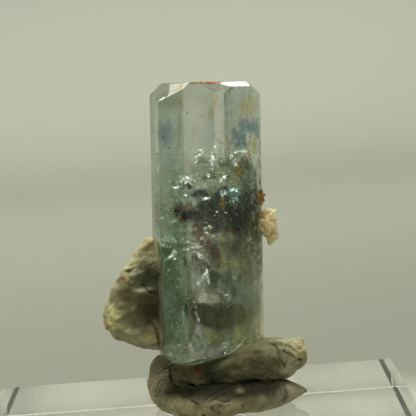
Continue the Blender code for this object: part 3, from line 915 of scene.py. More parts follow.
# Between these heights of the picture, the cracks are smooth and dim.
CALM = (262, 340)
GREENER = (0.95, 1.0, 0.93)
MIDDLE_COVER = (
    (172, 195, 10, 34, 1.0),
    (205, 172, 15, 12, 1.1),
    (240, 166, 14, 10, 0.9),
    (242, 203, 18, 24, 1.1),
    (208, 214, 17, 22, 1.3),
    (180, 212, 12, 8, 0.8),
    (172, 238, 15, 22, 1.1),
    (168, 285, 12, 30, 0.9),
    (205, 252, 24, 22, 0.85),
    (240, 262, 22, 24, 0.9),
    (190, 300, 28, 26, 0.7),
    (242, 305, 22, 26, 0.6),
    (205, 343, 30, 18, 0.9),
    (245, 335, 18, 12, 0.8),
)
FRONT_COVER = (
    (172, 215, 8, 34, 0.8),
    (172, 280, 8, 34, 0.7),
    (186, 182, 6, 4, 0.8),
    (230, 193, 8, 8, 1.2),
    (197, 192, 8, 5, 0.8),
    (184, 214, 14, 8, 0.8),
    (170, 245, 9, 12, 0.6),
    (205, 245, 14, 14, 0.7),
    (175, 330, 12, 18, 0.6),
    (210, 350, 16, 9, 0.8),
    (235, 268, 12, 8, 0.6),
    (209, 299, 9, 6, 0.5),
    (204, 314, 12, 7, 0.8),
    (245, 335, 12, 8, 0.7),
)
BACK_COVER = (
    (205, 222, 28, 55, 0.9),
    (240, 222, 28, 58, 1.2),
    (170, 240, 18, 64, 1.0),
    (210, 290, 70, 60, 0.8),
    (210, 345, 70, 40, 0.9),
)


def skin_looks():
    """Tint and frost of the crystal's skin: one base for each face, partly painted light and shade, two painted darker
    bands, then the listed stains.
    """
    flat = np.concatenate([skin.reshape(-1, 3), poles])
    facing = (flat @ plane_normals.T - plane_distances).argmax(axis=1)
    turned = np.degrees(np.arctan2(plane_normals[:, 0], -plane_normals[:, 1]))[facing]
    level = np.abs(plane_normals @ axis)[facing] < 0.02
    colour = np.ones((len(flat), 3))
    for azimuth, tint in FACE_TINTS:
        colour[level & (np.abs(turned - azimuth) < 4)] = tint
    across, down = picture_place(flat)
    leftmost = level & (np.abs(turned + 67) < 4)
    rightmost = level & (np.abs(turned - 53) < 4)
    # Painted shade: the right face darkens towards its left edge.
    colour = colour * (1 - 0.3 * np.clip((236 - across) / 10, 0, 1) * rightmost)[:, None]
    # Painted shade: the middle face is darker to the right of where the hindmost edge shows through.
    shaded_band = level & (np.abs(turned - 23) < 4) & (across > 214.5)
    colour = colour * (1 - 0.13 * shaded_band)[:, None]
    warp = np.stack([smooth_noise(flat * (1, 1, 0.5), 1.2 * MM, 301 + k) for k in range(2)], axis=-1) * 3
    across, down = across + warp[:, 0], down + warp[:, 1]
    front = turned ** 2 < 100 ** 2
    streaky = flat * (1, 1, 0.6)
    mottle = (0.8 * smooth_noise(streaky, 1.1 * MM, 311) + 0.8 * smooth_noise(streaky, 0.5 * MM, 312)
              + 0.8 * smooth_noise(flat, 0.3 * MM, 313))
    for x, y, wide, tall, tint, strength in SKIN_STAINS:
        share = np.exp(-(((across - x) / wide) ** 2) - ((down - y) / tall) ** 2)
        share = strength * np.clip(1.8 * share + 0.8 * mottle * np.minimum(3 * share, 1) - 0.4, 0, 1) * front
        colour = colour + (np.array(tint) - colour) * share[:, None]
    colour = colour * (1 + 0.12 * mottle * front)[:, None]
    keep_tint(crystal, colour ** 2)
    store(crystal, "frost", np.select([leftmost, front], [0.14, 0.015], 0.5))
    high = np.clip((200 - down) / 60, 0.25, 1)
    mottle = np.select([rightmost, level & (np.abs(turned + 7) < 4)], [high, 0.6 * high], 0.12) * front
    store(crystal, "mottle", mottle)


# Tint of each side face by its bearing in degrees; the differences between the faces are painted light and shade, on
# top of the crystal's green.
FACE_TINTS = (
    (-67, (0.95, 0.96, 0.88)),
    (-7, (0.80, 0.90, 0.82)),
    (23, (1.0, 1.0, 0.97)),
    (53, (0.90, 0.93, 0.86)),
)
YELLOW, GREY_BLUE, DEEP_BLUE, CREAM, DULL = (
    (0.66, 0.56, 0.24), (0.50, 0.60, 0.64), (0.24, 0.36, 0.42), (0.95, 0.92, 0.80), (0.46, 0.46, 0.34))
SKIN_STAINS = (
    (262, 250, 9, 100, (0.32, 0.34, 0.22), 1.1),
    (241, 105, 20, 26, GREY_BLUE, 0.5),
    (232, 130, 12, 24, DULL, 0.4),
    (170, 102, 14, 11, DULL, 0.6),
    (179, 104, 3, 6, YELLOW, 0.8),
    (167, 103, 5, 2, YELLOW, 0.3),
    (165, 134, 9, 14, GREY_BLUE, 1.0),
    (164, 134, 6, 9, DEEP_BLUE, 0.3),
    (179, 130, 2.4, 20, DULL, 0.8),
    (171, 163, 12, 12, GREY_BLUE, 0.3),
    (200, 98, 12, 12, CREAM, 0.6),
    (200, 114, 4, 1.5, YELLOW, 0.7),
    (211, 112, 3, 8, YELLOW, 0.6),
    (216, 102, 2, 8, YELLOW, 0.7),
    (195, 134, 3, 8, YELLOW, 0.5),
    (208, 135, 9, 14, (0.80, 0.84, 0.98), 0.6),
    (247, 107, 10, 12, YELLOW, 0.7),
    (254, 143, 6, 12, YELLOW, 0.4),
    (253, 140, 4, 5, YELLOW, 0.6),
    (250, 126, 14, 9, DEEP_BLUE, 1.0),
    (241, 138, 9, 13, DEEP_BLUE, 1.0),
    (258, 130, 4, 12, DEEP_BLUE, 0.8),
    (226, 112, 3, 24, DEEP_BLUE, 0.3),
    (257, 316, 14, 50, (0.66, 0.66, 0.54), 1.4),
    (226, 98, 3, 8, DEEP_BLUE, 0.5),
    (239, 172, 3, 5, YELLOW, 0.7),
)
skin_looks()
curtains = [
    curtain("crack_middle", 0.0 * MM, 0.12, MIDDLE_COVER, 201),
    curtain("crack_front", -4.2 * MM, -0.1, FRONT_COVER, 231),
    curtain("crack_back", 4.0 * MM, 0.05, BACK_COVER, 261),
]

# %% [markdown]
# ## Glints, specks and rust
# Where a crack turns its face to the lamp it flashes silver, and iron has crept in along the cracks as
# red and black specks. Each is a closed six-sided lens; a cluster is a named handful of them.

# %% Inner flakes
# Picture place, heading in degrees (0 level, 90 upright), spreads along and across it in pixels, how many,
# depths and radius in millimetres, how drawn out, tint.
GLINT_CLUSTERS = (
    (201, 150.5, 10, 1.2, 0.3, 16, 1.0, 1.6, 0.13, 1.6, "frost"),
    (199, 155, -20, 2.6, 0.5, 60, 1.0, 1.6, 0.12, 1.6, "frost"),
    (212.5, 158, 90, 4.5, 1.2, 120, 1.0, 2.0, 0.11, 1.6, "frost"),
    (232.5, 158, 60, 3.6, 1.2, 110, 1.0, 2.0, 0.11, 1.5, "frost"),
    (241, 152, -14, 4.2, 1.2, 150, 1.0, 1.8, 0.13, 1.4, "frost"),
    (236, 164, 0, 0.8, 0.8, 16, 1.0, 1.6, 0.24, 1.0, "frost"),
    (224, 177.5, -50, 3.4, 0.6, 60, 1.0, 1.8, 0.20, 1.8, "frost"),
    (209, 175.5, 0, 0.5, 0.5, 10, 1.0, 1.4, 0.26, 1.0, "frost"),
    (187, 181, 20, 3.6, 2.6, 44, 1.0, 2.2, 0.22, 1.5, "frost"),
    (177, 189, -40, 1.6, 0.5, 16, 1.0, 1.6, 0.22, 1.8, "frost"),
    (180, 186, -30, 1.2, 0.4, 10, 1.0, 1.6, 0.20, 1.8, "frost"),
    (205, 199, -6, 1.8, 0.4, 26, 1.0, 1.5, 0.26, 2.0, "frost"),
    (222, 194, 58, 1.8, 0.4, 20, 1.0, 1.5, 0.26, 1.8, "frost"),
    (228, 193, -38, 3.2, 0.9, 60, 1.0, 1.8, 0.26, 2.2, "ice"),
    (233, 191, -30, 2.8, 0.9, 60, 1.0, 1.8, 0.26, 2.0, "ice"),
    (234, 200, -28, 2.4, 1.4, 60, 1.0, 1.8, 0.26, 2.0, "ice"),
    (185, 195, -60, 1.0, 0.4, 10, 1.0, 1.5, 0.20, 1.8, "frost"),
    (205.3, 229, 0, 0.7, 0.5, 14, 0.8, 1.3, 0.26, 1.3, "frost"),
    (210, 227.5, 30, 0.8, 0.5, 14, 0.8, 1.3, 0.26, 1.3, "frost"),
    (164, 240.5, 0, 3.0, 0.9, 90, 0.5, 1.0, 0.24, 2.0, "frost"),
    (173, 240, 40, 2.4, 1.0, 80, 0.5, 1.0, 0.22, 2.0, "frost"),
    (164, 246, 20, 2.6, 0.6, 26, 0.8, 1.6, 0.20, 2.0, "frost"),
    (174.5, 254, 80, 2.0, 1.2, 80, 0.5, 1.0, 0.26, 1.4, "frost"),
    (169.5, 258, -42, 1.8, 0.5, 40, 0.5, 1.0, 0.22, 2.0, "frost"),
    (188, 243, 12, 6.0, 0.8, 60, 0.8, 1.6, 0.15, 2.6, "frost"),
    (194, 248, -8, 5.0, 0.7, 60, 0.8, 1.6, 0.15, 2.6, "frost"),
    (196, 253, 24, 4.0, 0.7, 50, 0.8, 1.6, 0.15, 2.6, "frost"),
    (203, 240, 60, 3.4, 0.7, 50, 0.8, 1.6, 0.15, 2.6, "frost"),
    (213, 236, 20, 4.0, 1.0, 50, 0.8, 1.6, 0.14, 2.2, "frost"),
    (161, 218.5, -25, 1.4, 0.4, 16, 0.8, 1.4, 0.20, 2.0, "frost"),
    (177, 221, 10, 1.8, 1.0, 30, 1.0, 1.8, 0.16, 1.2, "frost"),
    (201, 257, 40, 3.0, 1.0, 46, 0.8, 1.6, 0.15, 2.0, "frost"),
    (208, 262, 60, 3.0, 1.0, 40, 0.8, 1.6, 0.15, 2.0, "frost"),
    (202, 278, -55, 3.6, 0.5, 140, 0.5, 0.9, 0.24, 2.2, "frost"),
    (207.5, 276.5, 75, 2.2, 0.5, 100, 0.5, 0.9, 0.24, 1.8, "frost"),
    (221, 292, 35, 2.6, 1.2, 44, 0.8, 1.8, 0.20, 1.3, "frost"),
    (235, 278, 0, 1.4, 1.2, 26, 0.8, 1.8, 0.22, 1.2, "frost"),
    (233, 246, 0, 0.7, 0.7, 6, 0.8, 1.4, 0.16, 1.0, "frost"),
    (256.5, 251, 90, 1.6, 0.4, 14, 0.8, 1.4, 0.20, 2.0, "frost"),
    (198, 293, 90, 7.0, 0.4, 46, 0.8, 1.6, 0.16, 2.6, "pale"),
    (198, 322, 78, 7.0, 0.6, 70, 0.8, 2.0, 0.20, 2.0, "frost"),
    (203, 343, 62, 6.0, 0.9, 130, 0.5, 1.4, 0.26, 1.6, "frost"),
    (214, 354, 15, 6.0, 1.6, 220, 0.5, 1.6, 0.26, 1.5, "frost"),
    (221, 349, -30, 4.0, 1.4, 140, 0.5, 1.6, 0.24, 1.5, "frost"),
    (214, 362, 0, 5.0, 0.8, 140, 0.5, 1.2, 0.24, 1.5, "frost"),
    (184, 320, 50, 5.0, 3.2, 170, 0.8, 2.8, 0.12, 2.2, "mist"),
    (177, 333, 40, 5.0, 3.2, 150, 0.8, 2.8, 0.12, 2.2, "mist"),
    (170, 295, 90, 26, 4.5, 220, 0.6, 2.4, 0.12, 2.0, "mist"),
    (174, 356, 28, 6.0, 0.9, 60, 0.6, 1.2, 0.22, 1.6, "pale"),
    (200, 190, 0, 34, 30, 220, 1.0, 5.0, 0.10, 1.6, "mist"),
    (205, 285, 0, 36, 44, 240, 1.0, 6.0, 0.10, 1.6, "mist"),
    (170, 180, 0, 8, 22, 120, 0.6, 3.0, 0.10, 2.0, "frost"),
)
# Specks of iron: picture place, spreads, how many, depths and radius in millimetres, tint.
IRON_CLUSTERS = (
    (176, 208, 2.2, 2.6, 40, 0.8, 2.0, 0.20, "rust"),
    (177.5, 212, 1.6, 1.8, 34, 0.8, 2.0, 0.24, "black"),
    (171, 214, 1.4, 0.5, 10, 0.8, 1.6, 0.18, "rust"),
    (187, 216, 3.2, 2.2, 90, 0.8, 2.2, 0.26, "black"),
    (193, 213, 2.6, 1.6, 50, 0.8, 2.2, 0.26, "black"),
    (197, 213, 1.4, 1.8, 20, 0.8, 2.0, 0.22, "rust"),
    (181.5, 220, 1.4, 1.2, 24, 0.8, 2.0, 0.22, "brick"),
    (188, 209, 1.8, 1.2, 20, 0.8, 1.8, 0.24, "clay"),
    (196, 226, 3.0, 3.5, 36, 0.8, 3.0, 0.18, "brick"),
    (200, 234, 2.5, 3.0, 30, 0.8, 3.0, 0.18, "rust"),
    (205, 243, 2.6, 3.0, 60, 0.8, 3.0, 0.20, "rust"),
    (212, 252, 1.8, 4.5, 60, 0.8, 3.0, 0.20, "rust"),
    (219.5, 258, 0.7, 7.0, 50, 0.8, 2.4, 0.18, "brick"),
    (208, 266, 1.6, 3.0, 34, 0.8, 2.4, 0.20, "rust"),
    (236, 243, 2.4, 2.0, 24, 0.8, 2.4, 0.20, "rust"),
    (236, 249, 2.6, 2.4, 34, 0.8, 2.4, 0.22, "black"),
    (233, 194, 4.0, 3.5, 26, 1.2, 2.4, 0.24, "black"),
    (217, 196, 3.0, 2.0, 16, 1.2, 2.4, 0.2, "black"),
    (188, 184, 2.6, 1.8, 18, 1.2, 2.4, 0.2, "black"),
    (221, 298, 1.6, 5.0, 20, 0.8, 2.0, 0.18, "black"),
    (223, 318, 1.4, 7.0, 34, 0.8, 2.0, 0.16, "ochre"),
    (239, 170, 2.0, 4.0, 50, 0.6, 1.2, 0.16, "straw"),
    (233, 182, 2.4, 2.0, 40, 0.6, 1.2, 0.15, "straw"),
    (223, 202, 0.7, 3.0, 40, 0.6, 1.2, 0.20, "straw"),
)
# Bits of rust and dirt on the skin: picture place, spreads, how many, radius in millimetres, tint.
SKIN_BITS = (
    (209, 82.7, 4.5, 0.4, 60, 0.18, "orange"),
    (219, 82.6, 1.6, 0.3, 16, 0.18, "orange"),
    (196, 83.1, 3.0, 0.3, 16, 0.15, "ochre"),
    (175, 91, 1.4, 0.5, 12, 0.13, "ochre"),
    (178.5, 88.6, 1.4, 0.7, 18, 0.13, "straw"),
    (181.5, 86.6, 1.3, 0.7, 18, 0.13, "ochre"),
    (184, 84.6, 1.0, 0.6, 10, 0.13, "straw"),
    (224, 88, 2.4, 1.2, 14, 0.14, "ochre"),
    (230, 233, 0.6, 0.6, 8, 0.20, "orange"),
    (241.5, 268, 0.6, 0.6, 10, 0.22, "rust"),
    (245.7, 272, 0.5, 0.5, 7, 0.20, "rust"),
    (246, 277, 0.5, 0.4, 6, 0.18, "orange"),
    (249, 155, 0.9, 1.6, 14, 0.22, "ochre"),
    (248, 203, 0.5, 0.4, 5, 0.18, "rust"),
    (163, 137, 0.4, 0.4, 4, 0.15, "black"),
    (162, 125, 0.3, 0.3, 3, 0.14, "black"),
    (170, 148, 0.5, 0.4, 4, 0.15, "black"),
    (187, 113, 0.4, 0.3, 3, 0.14, "black"),
    (164, 174, 0.9, 0.4, 5, 0.14, "ochre"),
    (186, 352, 3.0, 1.8, 40, 0.16, "olive"),
    (240, 354, 3.0, 2.0, 24, 0.16, "orange"),
)


def lenses(name, centres, normal, first, radii, thickness, tints, rng):
    """Closed lenses: six rim points at uneven radii and one point either side of the middle."""
    count = len(centres)
    second = np.cross(normal, first)
    angle = np.linspace(0, 2 * np.pi, 6, endpoint=False)
    uneven = rng.uniform(0.15, 1.5, (count, 6, 1))
    rim = centres[:, None] + uneven * (np.cos(angle)[:, None] * (first * radii[:, :1])[:, None]
                                       + np.sin(angle)[:, None] * (second * radii[:, 1:])[:, None])
    half = normal * radii.min(axis=1, keepdims=True) * thickness
    points = np.concatenate([rim, (centres + half)[:, None], (centres - half)[:, None]], axis=1)
    start = np.arange(count)[:, None, None] * 8
    turn_on = np.stack([np.arange(6), (np.arange(6) + 1) % 6], axis=1)
    front = np.concatenate([turn_on, np.full((6, 1), 6)], axis=1)
    back = np.concatenate([turn_on[:, ::-1], np.full((6, 1), 7)], axis=1)
    faces = (start + np.concatenate([front, back])[None]).reshape(-1, 3)
    piece = new_piece(name, points.reshape(-1, 3), faces, smooth=False)
    keep_tint(piece, np.repeat(tints, 8, axis=0))
    print(name, count, "flakes")
    return piece


def unit(vectors):
    return vectors / np.linalg.norm(vectors, axis=-1, keepdims=True)


def shaded_tint(tint, count, rng):
    """The tint, lighter or darker by chance for each flake."""
    return np.array(TINTS[tint]) * np.clip(rng.normal(1, 0.2, (count, 1)), 0.4, 1.6)


def half_way(points, bent, face):
    """Directions half way between the way back to the camera and the way to the small lamp, both bent."""
    to_lamp = unit(np.array(SPARK_LAMP) - points)
    normal = plane_normals[face]
    cosine = (to_lamp * normal).sum(axis=-1, keepdims=True)
    steeper = np.sqrt(1 - (1 - cosine ** 2) / IOR ** 2)
    return unit(to_lamp / IOR + (steeper - cosine / IOR) * normal - bent)


def glints(rng):
    """Drawn-out flakes inside the crystal that lean half way between the camera and the lamps."""
    centres, firsts, radii, tints, leans = [], [], [], [], []
    for x, y, heading, long, narrow, count, near, far, radius, stretch, tint in GLINT_CLUSTERS:
        lengthwise, sideways = rng.normal(size=(2, count))
        way = np.radians(heading)
        across = x + long * lengthwise * np.cos(way) - narrow * sideways * np.sin(way)
        down = y + long * lengthwise * np.sin(way) + narrow * sideways * np.cos(way)
        points, hit = inside(across, down, rng.uniform(near, far, count) * MM)
        _, bent, _, face, _ = bend(across, down)
        lie = way + rng.normal(0, 0.35, count)
        first = np.cos(lie)[:, None] * np.array(right) - np.sin(lie)[:, None] * np.array(up)
        size = (HIGH_SIZE if y < LOW_START else LOW_SIZE) * radius * MM * rng.uniform(0.3, 1.0, count) ** 2
        centres.append(points[hit])
        firsts.append(first[hit])
        radii.append(np.stack([size * stretch ** 0.5, size / stretch ** 0.5], axis=1)[hit])
        tints.append(shaded_tint(tint, count, rng)[hit])
        lean = np.array(HIGH_LEAN) + 0 * points if y < LOW_START else half_way(points, bent, face)
        leans.append(lean[hit] + rng.normal(size=(int(hit.sum()), 3)) * (HIGH_SPREAD if y < LOW_START else LOW_SPREAD))
    centres, firsts, radii, tints, leans = (np.concatenate(part) for part in (centres, firsts, radii, tints, leans))
    kept = (plane_distances - centres @ plane_normals.T).min(axis=1) > 0.45 * MM
    centres, firsts, radii, tints, lean = centres[kept], firsts[kept], radii[kept], tints[kept], leans[kept]
    normal = unit(lean)
    firsts = unit(firsts - normal * (normal * firsts).sum(axis=1, keepdims=True))
    return lenses("glints", centres, normal, firsts, radii, 0.06, tints, rng)


def specks(rng):
    """Thick little lenses of iron in any position inside the crystal."""
    centres, radii, tints = [], [], []
    for x, y, wide, tall, count, near, far, radius, tint in IRON_CLUSTERS:
        spots = rng.normal(size=(2, count))
        points, hit = inside(x + wide * spots[0], y + tall * spots[1], rng.uniform(near, far, count) * MM)
        centres.append(points[hit])
        radii.append(radius * MM * rng.uniform(0.3, 1.2, (count, 1))[hit] * np.array([[1.2, 0.8]]))
        tints.append(shaded_tint(tint, count, rng)[hit])
    centres, radii, tints = (np.concatenate(part) for part in (centres, radii, tints))
    kept = (plane_distances - centres @ plane_normals.T).min(axis=1) > 0.4 * MM
    centres, radii, tints = centres[kept], radii[kept], tints[kept]
    normal = unit(rng.normal(size=centres.shape))
    first = unit(np.cross(normal, rng.normal(size=centres.shape)))
    return lenses("iron_specks", centres, normal, first, radii, 0.5, tints, rng)


def skin_bits(rng):
    """Flat crumbs that lie on the face where the camera's ray meets it."""
    centres, normals, radii, tints = [], [], [], []
    for x, y, wide, tall, count, radius, tint in SKIN_BITS:
        spots = rng.normal(size=(2, count))
        points, _, _, face, hit = bend(x + wide * spots[0], y + tall * spots[1])
        centres.append((points + plane_normals[face] * 0.01 * MM)[hit])
        normals.append(plane_normals[face][hit])
        radii.append(radius * MM * rng.uniform(0.4, 1.2, (count, 2))[hit])
        tints.append(shaded_tint(tint, count, rng)[hit])
    centres, normals, radii, tints = (np.concatenate(part) for part in (centres, normals, radii, tints))
    first = unit(np.cross(normals, rng.normal(size=centres.shape)))
    return lenses("skin_crumbs", centres, normals, first, radii, 0.35, tints, rng)


# High flakes lean towards the lamp overhead, low ones towards the small lamp in front.
HIGH_LEAN, LOW_START = (-0.15, -0.62, 0.62), 205
HIGH_SPREAD, LOW_SPREAD = 0.35, 0.1
SPARK_LAMP = (-0.14, -0.36, 0.62)
HIGH_SIZE, LOW_SIZE = 1.6, 1.25
sparks = glints(np.random.default_rng(2))
iron = specks(np.random.default_rng(3))
crumbs = skin_bits(np.random.default_rng(4))

# %% [markdown]
# ## Feldspar, albite and the small chips
# The matrix is massive feldspar: cream to greenish grey, broken along cleavages into ledges, with
# crusty grains and iron stains in the hollows. A sculpted lump would hide how it is made, so each
# piece is a stack of squarish rings between an inner and an outer reach, roughened at four sizes.
# Points that would enter the crystal are pushed back out through its nearest face.

# %% Stone pieces
MATRIX_LEVELS = np.array([
    (56.9, -6.7, -4.4, -1.6),
    (55.3, -8.2, -5.2, 0.4),
    (52.6, -9.3, -6.6, 2.0),
    (51.2, -11.2, -7.8, 3.0),
    (48.4, -13.1, -8.1, 4.0),
    (44.2, -14.5, -8.3, 4.6),
    (41.9, -15.1, -8.4, 4.4),
    (39.7, -12.9, -8.3, 3.6),
    (38.5, -10.3, -8.0, 2.6),
    (37.7, -7.6, -7.2, 1.2),
]) * MM
MATRIX_INNER = 0.5 * MM
# Feldspar's cleavages stand almost upright to each other; the set is turned to lie as the blocks do.
CLEAVAGES = np.array(Matrix.Rotation(radians(24), 3, "Y") @ Matrix.Rotation(radians(-28), 3, "Z"))
# Picture place, spreads, tint and strength of the lump's colours; the painted_shade row is painted shade in the
# crevice below the ledge.
LUMP_TINTS = (
    (143, 244, 9, 8, "tan", 2.0),
    (130, 262, 7, 5, "tan", 2.0),
    (118, 279, 8, 7, "fern", 1.2),
    (111, 296, 5, 14, "stone", 1.6),
    (127, 298, 14, 14, "fern", 3.0),
    (148, 261, 9, 7, "fern", 3.0),
    (149, 277, 9, 8, "shade", 8.0),
    (150, 309, 10, 13, "dusk", 8.0),
    (143, 289.5, 4.5, 1.8, "bone", 12.0),
    (150, 291.5, 6, 1.6, "painted_shade", 6.0),
    (136, 262, 3, 3, "stone", 1.0),
    (157, 250, 3, 8, "tan", 2.0),
    (158, 290, 3, 28, "dusk", 3.0),
    (113, 312, 9, 6, "olive", 1.4),
    (110, 326, 8, 6, "olive", 1.6),
    (144, 338, 12, 4, "sand", 1.2),
    (127, 332, 12, 5, "stone", 1.2),
    (128, 318, 12, 5, "moss", 1.0),
    (154, 332, 5, 7, "tan", 3.0),
    (159, 338, 1.5, 4, "maroon", 4.0),
    (125.2, 280, 1.1, 1.6, "brick", 14.0),
    (106.5, 323.7, 1.6, 1.4, "orange", 14.0),
)
# Picture place, spreads, tint and strength of the plate's colours; the painted_shade and fern rows are painted shade,
# under the crystal and low down.
PLATE_TINTS = (
    (287, 340, 8, 4, "bone", 4.0),
    (299, 350, 8, 9, "sand", 1.2),
    (275, 347, 9, 6, "moss", 2.0),
    (268, 364, 22, 8, "fern", 1.6),
    (255, 354, 12, 6, "fern", 1.6),
    (291, 367, 8, 7, "bone", 2.5),
    (240, 367, 20, 8, "fern", 6.0),
    (213, 372, 11, 6, "painted_shade", 8.0),
    (186, 371, 12, 7, "fern", 3.0),
    (236, 358, 10, 5, "shade", 6.0),
    (197.4, 370, 3.4, 2.8, "maroon", 20.0),
    (197, 369.5, 1.6, 1.4, "black", 12.0),
    (240, 353, 3, 2, "ochre", 2.0),
    (228, 361, 8, 3, "sand", 1.0),
    (300.7, 360.4, 1.2, 1.0, "rust", 10.0),
    (302, 352, 2.4, 5, "sand", 2.0),
    (285, 348, 1.2, 2, "shade", 6.0),
    (279, 356, 1.2, 6, "shade", 4.0),
)
RUST_TINTS = (
    (262, 190, 3, 2, "ochre", 2.0),
    (264, 194, 3, 4, "rust", 2.0),
    (264, 200, 3, 3, "clay", 1.5),
    (265, 204, 2, 2, "maroon", 2.0),
)
CREAM_TINTS = (
    (264, 214, 3, 3, "orange", 1.0),
    (268, 220, 4, 5, "peach", 2.0),
    (264, 232, 3, 8, "sand", 1.0),
    (274, 233, 2, 2, "ochre", 2.0),
)
MATRIX_HOLLOWS = (
    ((-6.2 * MM, -8.0 * MM, 49.8 * MM), 2.0 * MM, 2.4 * MM),
    ((-5.8 * MM, -8.2 * MM, 44.4 * MM), 2.1 * MM, 1.8 * MM),
)
PLATE_SECTIONS = np.array([
    (-4.3, 31.7, 33.4, -4.2, 1.4),
    (-3.4, 30.9, 34.1, -5.4, 3.0),
    (0.5, 30.6, 34.6, -6.8, 4.6),
    (4.2, 30.5, 35.0, -7.8, 5.4),
    (9.0, 30.4, 36.4, -8.2, 5.6),
    (12.6, 30.3, 36.4, -7.0, 5.4),
    (15.6, 30.2, 36.0, -5.6, 4.8),
    (17.2, 30.6, 36.1, -4.8, 4.4),
    (19.0, 31.8, 35.8, -4.2, 3.6),
    (19.8, 33.0, 35.0, -3.0, 2.4),
]) * MM


def resample(rows, count):
    """Rows spread evenly over the same course, each column read along a straight line."""
    place = np.linspace(0, len(rows) - 1, count)
    columns = [np.interp(place, np.arange(len(rows)), column) for column in rows.T]
    return np.stack(columns, axis=1)


def squarish(middle_a, middle_b, half_a, half_b, around, power=3.0):
    """Flat squarish ovals, one for each row of middles and half sizes: a superellipse of that power."""
    angle = np.linspace(0, 2 * np.pi, around, endpoint=False)
    c, s = np.cos(angle), np.sin(angle)
    stretch = (np.abs(c) ** power + np.abs(s) ** power) ** (-1 / power)
    return middle_a[:, None] + half_a[:, None] * c * stretch, middle_b[:, None] + half_b[:, None] * s * stretch


def away_from_middle(rings):
    """Unit steps from each ring's middle towards its points."""
    away = rings - rings.mean(axis=1)[:, None, :]
    return away / np.maximum(np.linalg.norm(away, axis=-1, keepdims=True), 1e-6)


def roughen(rings, broken, rolling, size, seed):
    """The coarse shape of the plain solid: broken and rolling unevenness along each ring's radius."""
    push = broken * broken_noise(rings, size, seed) + rolling * smooth_noise(rings, size * 1.7, seed + 20)
    return rings + away_from_middle(rings) * push[..., None]


def blocks(points, outward, size, most, seed, share=0.85):
    """Turn a surface into flat cleavage blocks.

    Points are sorted into cells round chosen points, the nearest by the largest of three distances
    along the cleavages. Each cell is pushed along the outward directions towards one plane through
    its chosen point, by at most the given height. The plane faces half way between the cell's own
    direction and its nearest cleavage.
    """
    rng = np.random.default_rng(seed)
    flat, steps = points.reshape(-1, 3), outward.reshape(-1, 3)
    lie = flat @ CLEAVAGES.T
    area = np.ptp(flat, axis=0)
    count = int(2.2 * (area[0] * area[1] + area[1] * area[2] + area[0] * area[2]) / size ** 2)
    chosen = rng.choice(len(flat), count, replace=False)
    waver = np.stack([smooth_noise(flat, size * 0.7, seed + k) for k in range(3)], axis=1) * size * 0.12
    nearest = np.zeros(len(flat), int)
    least = np.full(len(flat), np.inf)
    for number, one in enumerate(chosen):
        away = np.abs(lie + waver - lie[one]).max(axis=1)
        closer = away < least
        nearest[closer], least[closer] = number, away[closer]
    own = steps[chosen]
    cleavage = own @ CLEAVAGES.T
    strongest = np.abs(cleavage).argmax(axis=1)
    facing = CLEAVAGES[strongest] * np.sign(cleavage[np.arange(count), strongest])[:, None]
    normal = unit(0.6 * own + 0.6 * facing + rng.normal(0, 0.12, (count, 3)))
    plane = (normal * flat[chosen]).sum(axis=1) + rng.uniform(-0.25, 0.15, count) * MM
    gap = plane[nearest] - (flat * normal[nearest]).sum(axis=1)
    slope = np.maximum((steps * normal[nearest]).sum(axis=1), 0.35)
    height = np.clip(gap / slope, -most, most) * share
    return (flat + steps * height[:, None]).reshape(points.shape), (height / MM).reshape(points.shape[:-1])


def ease(grid, times):
    """Soften a grid of rings: each point moves half way to the mean of its four neighbours."""
    for _ in range(times):
        around = np.roll(grid, 1, axis=1) + np.roll(grid, -1, axis=1)
        ahead = np.concatenate([grid[1:], grid[-1:]]) + np.concatenate([grid[:1], grid[:-1]])
        grid = grid * 0.5 + (around + ahead) * 0.125
    return grid


def paint(piece, points, outward, rows, base):
    """Keep a tint per point: the base, and on the sides facing the camera the listed colours, stains mixed with
    painted light and shade.
    """
    across, down = picture_place(points)
    warp = np.stack([smooth_noise(points, 1.4 * MM, 601 + k) for k in range(2)], axis=-1) * 2.5
    stained = mixed_tint(across + warp[..., 0], down + warp[..., 1], rows, TINTS[base], 0.5)
    front = np.clip(0.6 - 2.5 * (outward * sight(across, down)).sum(axis=-1), 0, 1)[..., None]
    colour = np.array(TINTS[base]) * (1 - front) + stained * front
    colour = colour.reshape(-1, 3)
    keep_tint(piece, np.concatenate([colour, np.tile(TINTS[base], (len(piece.data.vertices) - len(colour), 1))]))


def crust(points, outward, seed, ledge=0.09, grain=0.1):
    """Ledges, chips and grains of a broken stone, and the height that they add at each point."""
    warped = points + 0.35 * MM * np.stack([smooth_noise(points, 1.3 * MM, seed + k) for k in range(3)], axis=-1)
    height = ledge * broken_noise(warped, 1.5 * MM, seed + 5)
    height = height + ledge * 0.42 * broken_noise(warped, 0.62 * MM, seed + 15)
    height = height + grain * grains(points, 0.5 * MM, seed + 30) - 0.08
    return points + outward * (height * MM)[..., None], height


def keep_out(points, through=None, margin=0.02 * MM):
    """Points inside the crystal are moved out through the nearest of its faces, or of the faces given."""
    depth = points @ plane_normals.T - plane_distances
    within = np.clip(margin - depth.max(axis=-1), 0, None) > 0
    if through is not None:
        depth = np.where(through, depth, -np.inf)
    nearest = depth.argmax(axis=-1)
    shift = np.where(within, margin - depth.max(axis=-1), 0)
    return points + plane_normals[nearest] * shift[..., None]


def carve(points, outward, lines, seed):
    """Press grooves seen from the front into a surface; gives the points and how deep each went.

    A line holds its corners in the picture, its half width in pixels and its depth in millimetres. The
    groove is a bell curve of the distance from the line, wavered by a noise.
    """
    across, down = picture_place(points)
    across = across + 2.0 * smooth_noise(points, 1.6 * MM, seed)
    down = down + 2.0 * smooth_noise(points, 1.6 * MM, seed + 1)
    depth = np.zeros(across.shape)
    for line, width, deep in lines:
        groove = deep * np.exp(-((line_distance(across, down, line) / width) ** 2))
        depth = np.where(np.abs(groove) > np.abs(depth), groove, depth)
    depth = depth * ((outward * sight(across, down)).sum(axis=-1) < 0.1)
    return points - outward * (depth * MM)[..., None], depth


